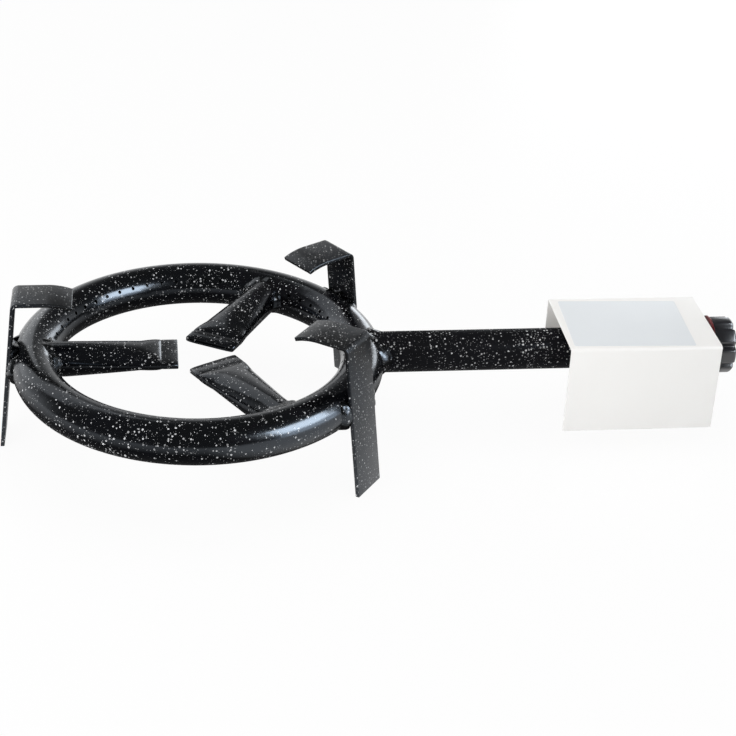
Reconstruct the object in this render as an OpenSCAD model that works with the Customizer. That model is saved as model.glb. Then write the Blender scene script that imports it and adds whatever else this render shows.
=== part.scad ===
// Paella burner: one ring of tube with three inward jets, on three strip legs that also carry the pan.
// A feed tube joins the ring to the gas tap, which sits under a folded sheet cover with its knob outside.
// The origin is on the floor under the ring's centre: +X runs along the feed tube to the knob, +Z is up.

/* [Ring] */
// Outside diameter of the ring
ring_d = 200; // [180:1:260]
// Outside diameter of the ring's tube
ring_tube_d = 23.5; // [21.5:0.5:28]
// Wall of the ring's tube
ring_wall = 2; // [1.5:0.1:2.6]
// Height of the ring's centre above the floor
ring_height = 47; // [44:1:64]

/* [Flame ports] */
// Diameter of a flame port
port_d = 2; // [1.4:0.1:2.8]
// Distance between ports along the inner side of the ring
port_pitch = 8.5; // [7:0.5:14]
// Angle of the ring's ports above level
port_lift = 32; // [20:1:50]

/* [Feed tube] */
// How much slimmer the feed tube is than the ring's tube
feed_step = 0.9; // [0.4:0.1:3]
// Wall of the feed tube
feed_wall = 2; // [1.5:0.1:2.6]
// Length of the feed tube from the ring's outside to its open end
feed_len = 116; // [80:1:160]

/* [Jets] */
// Outside diameter of a jet's tube
jet_d = 19; // [17:0.5:20.5]
// Wall of a jet's tube
jet_wall = 1.5; // [1:0.1:2]
// Distance from the ring's axis to the tip of a jet
jet_tip = 11.5; // [10:0.5:16]
// How much shorter the front jet is than the other two
front_jet_cut = 2; // [0:0.5:4]
// Length of the flat lip at the tip
lip_len = 8; // [4:0.5:9]
// Width of the slit left open in the lip
slit_h = 0.6; // [0.4:0.1:1.2]
// Height of the lip above the jet's axis
lip_lift = 1.5; // [0:0.1:4]
// Length over which the flat section behind the lip becomes oval
pinch_len = 12; // [6:1:16]
// Length of a jet that stays round at the ring
jet_round_len = 6; // [5:0.5:20]
// Angle of the two near jets from the feed tube's line
jet_spread = 60; // [56:1:64]

/* [Legs] */
// Width of the strip
leg_w = 23; // [18:0.5:28]
// Thickness of the strip
leg_t = 2.2; // [2:0.1:4]
// Angle of the back leg from the feed tube's line
leg_back_angle = 33.5; // [28:0.5:40]
// Angle of the front leg from the feed tube's line
leg_front_angle = 36; // [28:0.5:40]
// Outward lean of a leg
leg_splay = 6.8; // [2:0.2:10]
// Height of the arms that carry the pan
pan_height = 86; // [78:0.5:110]
// Length of an arm from the outside of its bend
arm_len = 32; // [26:0.5:40]
// Inside radius of the bend between leg and arm
leg_bend_r = 1.5; // [1:0.1:4]
// Length of the end of an arm that curls down
curl_len = 14; // [8:0.5:18]
// How far the end of an arm curls down
curl_drop = 2.8; // [1:0.1:4]

/* [Welds] */
// Gap left between two pieces before they are welded
weld_gap = 0.1; // [0.1:0.05:0.3]
// Leg length of the fillet round the feed tube
feed_bead = 5; // [3:0.5:6]
// Leg length of the fillet round a jet
jet_bead = 3.5; // [2:0.5:5]
// Reach of a bead on a leg, from the strip's edge along the ring
leg_bead = 5.5; // [3:0.5:6]
// Length of a bead on a leg
leg_bead_len = 17; // [12:0.5:18]
// Width of each bead under the bracket
bracket_bead = 5; // [3:0.5:7]

/* [Bracket] */
// Width of the flat bar that carries the tap
bracket_w = 20; // [19:0.5:26]
// Thickness of the flat bar
bracket_t = 3; // [2.5:0.1:4]
// Length of bar lying on the feed tube
bracket_lap = 14; // [10:0.5:17]
// Inside radius of the bar's bend
bracket_bend_r = 1; // [0.5:0.1:2]
// How far the turned-down plate reaches below the tap's axis
plate_drop = 11; // [10:0.5:20]

/* [Cover] */
// Width of the cover
cover_w = 61; // [56:0.5:80]
// Height of the cover
cover_h = 51; // [49:0.5:54]
// How much shorter the cover's back wall is than its front wall
cover_back_rise = 7; // [0:0.5:8]
// Thickness of the cover's sheet
cover_t = 1; // [0.8:0.1:2]
// Outside radius of the cover's folds
cover_fold_r = 2; // [1.5:0.1:2.4]
// Length of feed tube that the cover reaches over
cover_lap = 18; // [17.5:0.5:24]
// Length of the label on the cover's top
label_len = 67; // [30:0.5:70]
// Width of the label
label_w = 52.5; // [30:0.5:53]
// Thickness of the label
label_t = 0.2; // [0.1:0.05:0.4]
// Distance from the cover's near end to the label
label_margin = 3.6; // [2:0.1:6]
// Distance of the label from the middle of the cover's top, towards the front side
label_shift = 1.2; // [0:0.1:1.5]
// Turn of the label, which is stuck on a little askew
label_turn = 2; // [0:0.5:2]

/* [Cover studs] */
// Diameter of a stud welded under the cover's top
stud_d = 4; // [3:0.5:5]
// Distance between the two studs
stud_spacing = 12; // [11:0.5:13]
// Distance of the studs from the feed tube's open end
stud_offset = 6; // [5.5:0.5:7]
// Thickness of a stud's nut
stud_nut_t = 3.2; // [2:0.1:3.4]
// Thickness of a stud's washer
stud_washer_t = 0.8; // [0.5:0.1:1]

/* [Injector] */
// Distance from the feed tube's open end to the injector's tip
air_gap = 8; // [7:0.5:16]
// Diameter of the injector's thread
injector_thread_d = 8; // [7:0.5:9]
// Width of the injector's hexagon across its flats
injector_hex = 10; // [10:0.5:12]
// Length of the injector's nose
nose_len = 4; // [2:0.5:8]
// Length of the injector's hexagon
injector_hex_len = 4; // [2.5:0.5:6]
// Diameter of the injector's orifice
orifice_d = 0.9; // [0.5:0.1:1.5]

/* [Tap body] */
// Gap between the tap's body and the bar above it
tap_gap = 0.4; // [0.3:0.1:1]
// Length of the outlet boss behind the body
outlet_len = 4; // [3:0.5:8]
// Diameter of the plug's bore at its wide end
plug_wide_d = 13; // [12.5:0.1:13.6]
// Diameter of the plug's bore at its narrow end
plug_narrow_d = 10.4; // [9.6:0.1:11]
// Length of the tapered plug
plug_len = 14; // [13.5:0.1:14.6]
// Diameter of the main gas port in the plug
plug_port_d = 4; // [3:0.1:4.4]
// Diameter of the low-flame port in the plug
idle_port_d = 1.2; // [0.8:0.1:1.6]
// Gap all round a piece that turns
running_gap = 0.05; // [0.02:0.01:0.08]
// Gap all round a screwed joint
thread_gap = 0.1; // [0.05:0.01:0.15]

/* [Gas inlet] */
// Diameter of the hose connector's thread
inlet_d = 20; // [16:0.5:21]
// Length of the hose connector's thread
inlet_len = 10; // [8:0.5:10.5]
// Bore of the hose connector
inlet_bore = 7; // [5:0.5:8]
// Width of the connector's hexagon across its flats
inlet_hex = 22; // [22:0.5:26]
// Thickness of the connector's hexagon
inlet_hex_len = 5; // [4:0.5:5.5]
// Diameter of the thread that goes into the tap
inlet_shank_d = 13; // [12:0.1:13.6]
// Wall of the inlet boss round that thread
inlet_boss_wall = 2.2; // [2:0.1:3]
// Thickness of the sealing washer at the inlet
inlet_washer_t = 1; // [0.5:0.1:1.5]
// Distance from the tap's axis to the face of the inlet boss
inlet_face = 15; // [14.6:0.1:15.5]

/* [Tap bonnet and spindle] */
// Length of the bonnet between the body and the bracket
bonnet_len = 12; // [11.5:0.1:14]
// Thickness of the bonnet's end wall
bonnet_wall = 3; // [2.6:0.1:3.4]
// Diameter of the bonnet's hollow
bonnet_hollow_d = 16; // [15.8:0.1:16.4]
// Diameter of the threaded neck
neck_d = 12; // [11.4:0.1:12.6]
// Diameter of the spindle in the neck
spindle_d = 8; // [7.4:0.1:8.4]
// Diameter of the shaft in the knob
shaft_d = 6; // [5.4:0.1:6.6]
// Depth of the flat on the shaft
shaft_flat = 0.7; // [0.5:0.1:1]
// Turn of the tap from closed to low flame
tap_turn = 180; // [150:5:200]
// Wire diameter of the plug's spring
spring_wire_d = 0.9; // [0.6:0.1:1]
// Coils in the plug's spring
spring_coils = 3; // [2.5:0.5:3.5]
// Thickness of the washer on the neck
neck_washer_t = 1; // [0.6:0.1:1.6]
// Thickness of the nut on the neck
neck_nut_t = 5; // [3:0.5:6]
// Width of the neck's nut across its flats
neck_nut_hex = 17; // [17:0.5:19]
// Length of neck left standing out of the nut
neck_spare = 2; // [1:0.5:4]
// Diameter of a bonnet screw
screw_d = 3; // [2.5:0.1:3.4]
// Distance from the tap's axis to a bonnet screw
screw_offset = 14; // [13.5:0.1:15]

/* [Knob] */
// Diameter of the knob over its lobes
knob_d = 31.5; // [29:0.5:34]
// Length of the lobed grip
knob_len = 12.1; // [8:0.1:14]
// Number of lobes
knob_lobes = 8; // [6:1:9]
// Turn of the lobes with the tap shut, from straight up towards the back
lobe_turn = 1; // [-22:0.5:22]
// Width of the groove between two lobes
groove_w = 5.6; // [4:0.1:7]
// Depth of the groove between two lobes
groove_h = 2.4; // [1.5:0.1:3]
// Radius of the grip's front edge
knob_edge_r = 1.8; // [0.5:0.1:2.4]
// Thickness of the grip's front wall
knob_face_t = 2.4; // [1.6:0.1:3]
// Diameter of the hub that runs back through the coloured ring
hub_d = 13; // [11:0.5:16]
// Diameter of the coloured ring behind the grip
knob_ring_d = 33; // [30:0.5:36]
// Thickness of the coloured ring
knob_ring_t = 1.1; // [1:0.1:5]
// Distance from the end of the neck to the coloured ring
knob_stand = 6.2; // [5:0.1:10]
// Gap between the cover's end and the coloured ring
knob_gap = 1.2; // [0.8:0.1:3]
// Thickness of the spring leaf in the hub
leaf_t = 0.4; // [0.3:0.05:0.5]

/* [Hidden] */
$fn = 72;
eps = 0.5;
bead_clear = 0.1;
weld_sections = 48;
bead_steps = 10;
crevice_start = 18;
crevice_span = 24;
arc_steps = 12;
seat_gap = 0.1;
jet_sides = 40;
squash_steps = 12;
girth_power = 0.4;
lip_roundness = 1 / 3;
ring_fn = 240;

ring_r = ring_tube_d / 2;
ring_mean = ring_d / 2 - ring_r;
feed_r = ring_r - feed_step / 2;
feed_end = ring_d / 2 + feed_len;
jet_r = jet_d / 2;
jet_angles = [180, jet_spread, -jet_spread];
leg_angles = [180, leg_back_angle, -leg_front_angle];
lip_t = 2 * jet_wall + slit_h;
lip_w = PI * (jet_d - jet_wall) / 2 + jet_wall;

// Ports round the ring: the ring's inner side is shared out evenly, and the jets' roots take out a few
port_count = floor(2 * PI * (ring_mean - ring_r * cos(port_lift)) / port_pitch);
jet_root_half_angle = asin((jet_r + jet_bead + port_d) / (ring_mean - ring_r));

// Leg profile: the strip leans on the ring's tube, and its top bends inwards to the arm
leg_bend_outer = leg_bend_r + leg_t;
leg_top = pan_height - ring_height;
leg_inner_offset = ring_r + weld_gap;
bend_z = leg_top - leg_bend_outer;
bend_x = leg_face_x(leg_inner_offset + leg_t - leg_bend_outer, bend_z);
arm_end = bend_x + leg_bend_outer - arm_len;
curl_start = arm_end + curl_len;
curl_r = (curl_len * curl_len + curl_drop * curl_drop) / (2 * curl_drop);
curl_angle = asin(curl_len / curl_r);

// Heights above the feed tube's axis
bracket_z = feed_r + weld_gap;
bracket_top = bracket_z + bracket_t;
cover_top = bracket_top + cover_t;
stud_end = bracket_z - stud_washer_t - stud_nut_t - 1;
tap_d = 2 * (bracket_z - tap_gap);
bonnet_d = tap_d - 2;

// The tap's body is as long as its inlet boss is wide
inlet_boss_d = inlet_shank_d + 2 * inlet_boss_wall;
tap_len = inlet_boss_d + 6 * seat_gap;

// Stations along +X, from the feed tube's open end to the knob's front
bracket_start = feed_end - bracket_lap;
cover_start = feed_end - cover_lap;
stud_x = feed_end + stud_offset;
nose_x = feed_end + air_gap;
injector_x = nose_x + nose_len;
outlet_x = injector_x + injector_hex_len;
tap_x = outlet_x + outlet_len;
bonnet_x = tap_x + tap_len;
plug_x = bonnet_x - plug_len;
inlet_x = tap_x + tap_len / 2;
plate_x = bonnet_x + bonnet_len;
washer_x = plate_x + bracket_t;
nut_x = washer_x + neck_washer_t;
neck_end = nut_x + neck_nut_t + neck_spare;
knob_back = neck_end + knob_stand;
grip_x = knob_back + knob_ring_t;
knob_end = grip_x + knob_len;
cover_end = knob_back - knob_gap;
hub_x = neck_end + knob_stand / 2;
shaft_end = knob_end - knob_face_t - 1;

// Inside the tap
plug_slot_w = 3;
plug_slot_depth = 4;
tongue_w = 7;
flange_t = 1.9;
flange_d = 12;
lug_w = 2.4;
lug_reach = bonnet_hollow_d / 2 - 0.4;
stop_inner_d = flange_d + 0.8;
stop_margin = 2;
lug_half_angle = asin(lug_w / stop_inner_d) + stop_margin;
shoulder_x = plate_x - bonnet_wall;
flange_x = shoulder_x - seat_gap - flange_t;
spring_r = 5;
injector_thread_len = 6;
outlet_wall = 3;
inlet_shank_len = 6.5;
inlet_thread_depth = 7;
ear_r = 4.5;
ear_t = 4;
screw_head_d = 5.5;
screw_head_t = 2.4;
leaf_len = 9;
shaft_flat_y = shaft_d / 2 - shaft_flat;
leaf_y = shaft_flat_y + running_gap;
hub_flat_y = leaf_y + leaf_t + seat_gap;
leaf_w = 2 * sqrt(pow(shaft_d / 2, 2) - pow(leaf_y + leaf_t, 2));

// Distance from the ring's axis to a leaning face, at a height above the ring's plane
function leg_face_x(offset, z) = ring_mean + (offset - z * sin(leg_splay)) / cos(leg_splay);

// Points of an arc in the XY plane
function arc(x, y, r, from, to) = [
    for (i = [0 : arc_steps])
        let (a = from + (to - from) * i / arc_steps)
        [x + r * cos(a), y + r * sin(a)]
];

// Distance out to the ring's skin, at a sideways distance and a height.
// side is 1 on the ring's outer side and -1 on its inner side.
function ring_x(side, y, z, gap) =
    let (rho = ring_mean + side * sqrt(pow(ring_r + gap, 2) - z * z))
    sqrt(rho * rho - y * y);

// Point on the ring, bead_clear above its surface
function on_ring(side, lift, turn) =
    let (
        body = ring_r + bead_clear,
        rho = ring_mean + side * body * cos(lift)
    )
    [rho * cos(turn), rho * sin(turn), body * sin(lift)];

// Cross-section of a weld round a tube that meets the ring, at angle a round that tube
function bead_section(tube_r, reach, side, a) =
    let (
        tube = tube_r + bead_clear,
        body = ring_r + bead_clear,
        lift = asin(tube * sin(a) / body),
        rho = ring_mean + side * body * cos(lift),
        turn = asin(tube * cos(a) / rho),
        lift_reach = reach / body * sin(a) * 180 / PI,
        turn_reach = reach / rho * cos(a) * 180 / PI,
        root = on_ring(side, lift, turn),
        on_tube = root + [side * reach, 0, 0],
        ring_side = [for (k = [3, 2, 1]) on_ring(side, lift + lift_reach * k / 3, turn + turn_reach * k / 3)],
        hollow = 0.42 * on_tube + 0.42 * ring_side[0] + 0.16 * root
    )
    concat([root, on_tube, hollow], ring_side);

// Equal cross-sections joined into one solid: a closed ring of them, or a bar with two flat ends
module swept(sections, closed) {
    n = len(sections);
    m = len(sections[0]);
    walls = [
        for (i = [0 : n - (closed ? 1 : 2)], j = [0 : m - 1])
            let (
                p = i * m + j,
                q = i * m + (j + 1) % m,
                p2 = (i + 1) % n * m + j,
                q2 = (i + 1) % n * m + (j + 1) % m
            )
            each [[p, p2, q2], [p, q2, q]]
    ];
    ends = closed ? [] : [[for (j = [0 : m - 1]) j], [for (j = [m - 1 : -1 : 0]) (n - 1) * m + j]];
    polyhedron([for (s = sections, p = s) p], concat(walls, ends));
}

// Weld fillet round a tube that meets the ring along +X
module saddle_bead(tube_r, reach, side) {
    sections = [
        for (i = [0 : weld_sections - 1]) bead_section(tube_r, reach, side, side * 360 * i / weld_sections)
    ];
    swept(sections, true);
}

module torus(mean, r) {
    rotate_extrude($fn = ring_fn) translate([mean, 0]) circle(r);
}

// Lifts what is drawn round the ring's centre to the ring's height
module at_ring() {
    translate([0, 0, ring_height]) children();
}

// Puts what is drawn along +Z on the feed tube's axis, from station x towards the knob
module on_axis(x) {
    translate([x, 0, ring_height]) rotate([0, 90, 0]) children();
}

// Puts what is drawn along +Z under the tap's inlet, from a distance below the axis downwards
module at_inlet(drop) {
    translate([inlet_x, 0, ring_height - drop]) rotate([180, 0, 0]) children();
}

module hexagon(flats, h) {
    cylinder(d = flats / cos(30), h = h, $fn = 6);
}

module tube_ring(outer_d, inner_d, h) {
    difference() {
        cylinder(d = outer_d, h = h);
        translate([0, 0, -eps]) cylinder(d = inner_d, h = h + 2 * eps);
    }
}

// Turned angle between two directions, 0 to 180
function angle_between(a, b) = abs((a - b + 540) % 360 - 180);

module ring_ports() {
    for (i = [0 : port_count - 1]) {
        a = 360 * (i + 0.5) / port_count;
        if (min([for (j = jet_angles) angle_between(a, j)]) > jet_root_half_angle)
            rotate(a) translate([ring_mean, 0, 0]) rotate([0, port_lift - 90, 0])
                translate([0, 0, ring_r - ring_wall - eps]) cylinder(d = port_d, h = ring_wall + 2 * eps);
    }
}

module ring_tube() color("#131316") at_ring() {
    difference() {
        torus(ring_mean, ring_r);
        torus(ring_mean, ring_r - ring_wall);
        translate([ring_mean, 0, 0]) rotate([0, 90, 0]) cylinder(r = feed_r - feed_wall, h = ring_tube_d);
        for (a = jet_angles)
            rotate(a) translate([ring_mean, 0, 0]) rotate([0, -90, 0])
                cylinder(r = jet_r - jet_wall, h = ring_tube_d);
        ring_ports();
    }
}

module feed_tube() color("#131316") at_ring() {
    difference() {
        translate([ring_mean, 0, 0]) rotate([0, 90, 0]) cylinder(r = feed_r, h = feed_end - ring_mean);
        translate([ring_mean, 0, 0]) rotate([0, 90, 0]) cylinder(r = feed_r - feed_wall, h = feed_end);
        torus(ring_mean, ring_r + weld_gap);
    }
}

// Length over which a jet is squashed: all of it behind the lip, up to its round end at the ring
function jet_squash(tip) = ring_mean - ring_r - tip - lip_len - jet_round_len;

// Outline of a jet's outside or bore at a distance behind its lip.
// Its sides draw in evenly, and its top and underside leave the lip in a crease and rise
// about as they do in a tube that keeps its girth.
// half_w and half_t are half the lip's width and thickness.
function jet_outline(r, half_w, half_t, d, squash) =
    let (
        s = min(1, d / squash),
        oval = min(1, d / pinch_len),
        w = half_w + (r - half_w) * s,
        t = half_t + max(0, jet_r * pow(s, girth_power) - lip_t / 2),
        power = oval + (1 - oval) * lip_roundness
    )
    [
        for (i = [0 : jet_sides - 1])
            let (a = 360 * (i + 0.5) / jet_sides)
            [
                w * sign(cos(a)) * pow(abs(cos(a)), power),
                t * sign(sin(a)) * pow(abs(sin(a)), power) + (1 - s) * lip_lift
            ]
    ];

// Cross-sections of a jet's outside or bore, from the lip to where the tube meets the ring
function jet_sections(tip, r, half_w, half_t) =
    let (squash = jet_squash(tip))
    concat(
        [[for (p = jet_outline(r, half_w, half_t, 0, squash)) [tip, p[0], p[1]]]],
        [
            for (i = [0 : squash_steps])
                let (d = squash * pow(i / squash_steps, 2))
                [for (p = jet_outline(r, half_w, half_t, d, squash)) [tip + lip_len + d, p[0], p[1]]]
        ],
        [[
            for (p = jet_outline(r, half_w, half_t, squash, squash))
                [ring_x(-1, p[0], p[1], weld_gap), p[0], p[1]]
        ]]
    );

// A jet points at the ring's centre, and its squashed tip leaves a slit
module jet(angle, tip) color("#131316") at_ring() rotate(angle) {
    outside = jet_sections(tip, jet_r, lip_w / 2, lip_t / 2);
    bore = jet_sections(tip, jet_r - jet_wall, lip_w / 2 - jet_wall, slit_h / 2);
    swept(concat(outside, [for (i = [len(bore) - 1 : -1 : 0]) bore[i]]), true);
}

module jet_left() { jet(jet_angles[0], jet_tip); }
module jet_back() { jet(jet_angles[1], jet_tip); }
module jet_front() { jet(jet_angles[2], jet_tip + front_jet_cut); }

// One bent strip, drawn in the ring's plane of centres with +X outwards
module leg_strip(angle) {
    outer = leg_inner_offset + leg_t;
    profile = concat(
        [[leg_face_x(outer, -ring_height), -ring_height]],
        arc(bend_x, bend_z, leg_bend_outer, leg_splay, 90),
        arc(curl_start, leg_top - curl_r, curl_r, 90, 90 + curl_angle),
        arc(curl_start, leg_top - curl_r, curl_r - leg_t, 90 + curl_angle, 90),
        arc(bend_x, bend_z, leg_bend_r, 90, leg_splay),
        [[leg_face_x(leg_inner_offset, -ring_height), -ring_height]]
    );
    rotate(angle) rotate([90, 0, 0]) linear_extrude(leg_w, center = true) polygon(profile);
}

module leg(angle) color("#1b1b1e") at_ring() leg_strip(angle);
module leg_left() { leg(leg_angles[0]); }
module leg_back() { leg(leg_angles[1]); }
module leg_front() { leg(leg_angles[2]); }

module feed_weld() color("#0d0d10") at_ring() saddle_bead(feed_r, feed_bead, 1);

module jet_welds() color("#0d0d10") at_ring() {
    for (a = jet_angles)
        rotate(a) saddle_bead(jet_r, jet_bead, -1);
}

// Height of a bead along its length, 1 in the middle and small at both ends
function bead_swell(s) = 0.15 + 0.85 * sqrt(1 - s * s);

// Level cross-section of the bead along a strip's edge, which swells out between the edge and the ring
function edge_section(side, s) =
    let (
        z = s * leg_bead_len / 2,
        y = leg_w / 2 + bead_clear,
        reach = leg_bead * bead_swell(s),
        on_ring = [for (k = [1, 0.5, 0]) [ring_x(1, y + k * reach, z, bead_clear), y + k * reach, z]],
        on_strip = [leg_face_x(leg_inner_offset + leg_t, z) - bead_clear, y, z],
        corner = [on_strip[0], on_ring[0][1], z],
        swell = [
            for (t = [0.3, 0.7])
                (1 - t) * (1 - t) * on_strip + 2 * t * (1 - t) * corner + t * t * on_ring[0]
        ]
    )
    [for (p = concat([on_strip], swell, on_ring)) [p[0], side * p[1], p[2]]];

// Upright cross-section of the bead across a strip, in the crevice above the ring
function crevice_section(s) =
    let (
        body = ring_r + bead_clear,
        y = s * leg_bead_len / 2,
        low = leg_splay + crevice_start,
        high = low + crevice_span * bead_swell(s),
        on_ring = [
            for (a = [high, (high + low) / 2, low])
                [ring_x(1, y, body * sin(a), bead_clear), y, body * sin(a)]
        ],
        on_strip = [
            for (z = [body * sin(low), body * sin(high) + bead_swell(s)])
                [leg_face_x(leg_inner_offset, z) - bead_clear, y, z]
        ]
    )
    concat(on_strip, on_ring);

// Three beads a leg: one along each edge of the strip and one across it
module leg_welds() color("#0d0d10") at_ring() {
    steps = [for (i = [0 : bead_steps]) 2 * i / bead_steps - 1];
    for (a = leg_angles)
        rotate(a) {
            for (side = [-1, 1])
                swept([for (s = steps) edge_section(side, side * s)], false);
            swept([for (s = steps) crevice_section(-s)], false);
        }
}

// A flat bar on top of the feed tube, turned down at its end into a plate for the tap
module tap_bracket() color("#1b1b1e") at_ring() {
    bend_outer = bracket_bend_r + bracket_t;
    end = plate_x + bracket_t;
    profile = concat(
        [[bracket_start, bracket_z], [bracket_start, bracket_top]],
        arc(end - bend_outer, bracket_top - bend_outer, bend_outer, 90, 0),
        [[end, -plate_drop], [plate_x, -plate_drop]],
        arc(end - bend_outer, bracket_top - bend_outer, bracket_bend_r, 0, 90)
    );
    difference() {
        rotate([90, 0, 0]) linear_extrude(bracket_w, center = true) polygon(profile);
        translate([plate_x - eps, 0, 0]) rotate([0, 90, 0])
            cylinder(d = neck_d + 2 * thread_gap, h = bracket_t + 2 * eps);
        for (side = [-1, 1])
            translate([stud_x, side * stud_spacing / 2, bracket_z - eps])
                cylinder(d = stud_d + 2 * thread_gap, h = bracket_t + 2 * eps);
    }
}

// Two fillets that fill the wedge between the bar and the round of the tube
module bracket_weld() color("#0d0d10") on_axis(bracket_start) {
    inner = 2;
    for (side = [-1, 1])
        linear_extrude(bracket_lap)
            difference() {
                translate([-bracket_z, side > 0 ? inner : -inner - bracket_bead])
                    square([bracket_z, bracket_bead]);
                circle(feed_r);
            }
}

// A rectangle with its two top corners rounded, drawn with its top edge at top
module folded_outline(w, top, bottom, r) {
    translate([-w / 2, bottom]) square([w, top - bottom - r]);
    translate([r - w / 2, bottom]) square([w - 2 * r, top - bottom]);
    for (side = [-1, 1])
        translate([side * (w / 2 - r), top - r]) circle(r);
}

module cover() color("#efeeea") translate([cover_start, 0, ring_height]) rotate([90, 0, 90]) {
    bottom = cover_top - cover_h;
    linear_extrude(cover_end - cover_start)
        difference() {
            folded_outline(cover_w, cover_top, bottom, cover_fold_r);
            folded_outline(cover_w - 2 * cover_t, cover_top - cover_t, bottom - eps, cover_fold_r - cover_t);
            if (cover_back_rise > 0)
                translate([cover_w / 4, bottom - eps]) square([cover_w, cover_back_rise + eps]);
        }
}

module label() color("#d8dfe6") {
    translate([cover_start + label_margin + label_len / 2, -label_shift, ring_height + cover_top])
        rotate(-label_turn) translate([-label_len / 2, -label_w / 2, 0]) cube([label_len, label_w, label_t]);
}

// Repeats a piece at the two studs, drawn along -Z from a height above the feed tube's axis
module at_studs(z) {
    for (side = [-1, 1])
        translate([stud_x, side * stud_spacing / 2, ring_height + z]) mirror([0, 0, 1]) children();
}

module cover_studs() color("#b9b9bd") at_studs(bracket_top) cylinder(d = stud_d, h = bracket_top - stud_end);

module stud_washers() color("#b9b9bd") at_studs(bracket_z) {
    tube_ring(2.1 * stud_d, stud_d + 2 * thread_gap, stud_washer_t);
}

module stud_nuts() color("#b9b9bd") at_studs(bracket_z - stud_washer_t) difference() {
    hexagon(1.75 * stud_d, stud_nut_t);
    translate([0, 0, -eps]) cylinder(d = stud_d + 2 * thread_gap, h = stud_nut_t + 2 * eps);
}

// The injector's nose blows the gas into the feed tube, and its thread sits in the tap's outlet
module injector() color("#c9a24a") on_axis(nose_x) {
    orifice_wall = 1.5;
    shank_end = nose_len + injector_hex_len + injector_thread_len - seat_gap;
    difference() {
        union() {
            cylinder(d1 = injector_hex * 0.45, d2 = injector_hex * 0.9, h = nose_len);
            translate([0, 0, nose_len]) hexagon(injector_hex, injector_hex_len);
            translate([0, 0, nose_len])
                cylinder(d = injector_thread_d - 2 * thread_gap, h = shank_end - nose_len);
        }
        translate([0, 0, -eps]) cylinder(d = orifice_d, h = nose_len);
        translate([0, 0, orifice_wall]) cylinder(d = injector_hex * 0.25, h = shank_end);
    }
}

// Two ears for the bonnet's screws, as an outline round the axis
module ear_outline() {
    square([2 * ear_r, 2 * screw_offset], center = true);
    for (side = [-1, 1])
        translate([0, side * screw_offset]) circle(ear_r);
}

module at_screws() {
    for (side = [-1, 1])
        translate([0, side * screw_offset, 0]) children();
}

// Tap housing with a tapered bore for the plug and an inlet boss that points down
module tap_body() color("#c9a24a") {
    difference() {
        union() {
            on_axis(tap_x) cylinder(d = tap_d, h = tap_len);
            on_axis(outlet_x) cylinder(d = injector_thread_d + 2 * outlet_wall, h = outlet_len + eps);
            on_axis(bonnet_x - ear_t) linear_extrude(ear_t) ear_outline();
            at_inlet(0) cylinder(d = inlet_boss_d, h = inlet_face);
        }
        on_axis(plug_x) cylinder(d1 = plug_narrow_d, d2 = plug_wide_d, h = plug_len);
        on_axis(plug_x - eps) cylinder(d = plug_narrow_d, h = 2 * eps);
        on_axis(bonnet_x) cylinder(d = plug_wide_d, h = eps);
        on_axis(outlet_x - eps) cylinder(d = injector_thread_d, h = injector_thread_len + eps);
        on_axis(outlet_x) cylinder(d = plug_port_d, h = plug_x - outlet_x);
        at_inlet(0) cylinder(d = plug_port_d, h = inlet_face);
        at_inlet(inlet_face - inlet_thread_depth) cylinder(d = inlet_shank_d, h = inlet_thread_depth + eps);
        on_axis(bonnet_x - ear_t - eps) at_screws() cylinder(d = screw_d, h = ear_t + 2 * eps);
    }
}

// The plug's main port meets the inlet a quarter turn from closed, and the small one half a turn from closed
module tap_plug() color("#b08d3e") {
    narrow = plug_narrow_d - 2 * running_gap;
    wide = plug_wide_d - 2 * running_gap;
    length = plug_len - 2 * seat_gap;
    axis_hole_len = inlet_x - plug_x + plug_port_d;
    difference() {
        on_axis(plug_x + seat_gap) cylinder(d1 = narrow, d2 = wide, h = length);
        on_axis(plug_x - eps) cylinder(d = plug_port_d, h = axis_hole_len);
        translate([inlet_x, 0, ring_height]) rotate([90, 0, 0]) cylinder(d = plug_port_d, h = plug_wide_d);
        translate([inlet_x, 0, ring_height]) cylinder(d = idle_port_d, h = plug_wide_d);
        translate([bonnet_x - plug_slot_depth, -plug_wide_d, ring_height - plug_slot_w / 2])
            cube([plug_slot_depth + eps, 2 * plug_wide_d, plug_slot_w]);
    }
}

// Wire coil between the plug and the spindle's flange
module plug_spring() color("#d0d0d4") on_axis(bonnet_x) {
    wire_sides = 8;
    rings_per_coil = 24;
    wire_r = spring_wire_d / 2;
    start = seat_gap + wire_r;
    rise = flange_x - bonnet_x - spring_wire_d - 2 * seat_gap;
    steps = floor(spring_coils * rings_per_coil);
    sections = [
        for (i = [0 : steps])
            let (turn = 360 * i / rings_per_coil)
            [
                for (k = [0 : wire_sides - 1])
                    let (
                        a = -360 * k / wire_sides,
                        r = spring_r + wire_r * cos(a)
                    )
                    [r * cos(turn), r * sin(turn), start + rise * i / steps + wire_r * sin(a)]
            ]
    ];
    swept(sections, false);
}

// Spindle: a tongue in the plug's slot, a flange with a stop lug, a stem in the neck and a shaft for the knob
module spindle() color("#c4c4c8") {
    tongue_x = bonnet_x - plug_slot_depth + 3 * seat_gap;
    tongue_t = plug_slot_w - 2 * seat_gap;
    stem_end = neck_end + 1;
    flat_x = hub_x;
    translate([tongue_x, -tongue_w / 2, ring_height - tongue_t / 2])
        cube([flange_x - tongue_x + eps, tongue_w, tongue_t]);
    on_axis(flange_x) {
        cylinder(d = flange_d, h = flange_t);
        translate([0, -lug_w / 2, 0]) cube([lug_reach, lug_w, flange_t]);
        cylinder(d = spindle_d, h = stem_end - flange_x);
    }
    difference() {
        on_axis(stem_end - eps) cylinder(d = shaft_d, h = shaft_end - stem_end + eps);
        translate([flat_x, shaft_flat_y, ring_height - shaft_d])
            cube([shaft_end - flat_x + eps, shaft_d, 2 * shaft_d]);
    }
}

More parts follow.
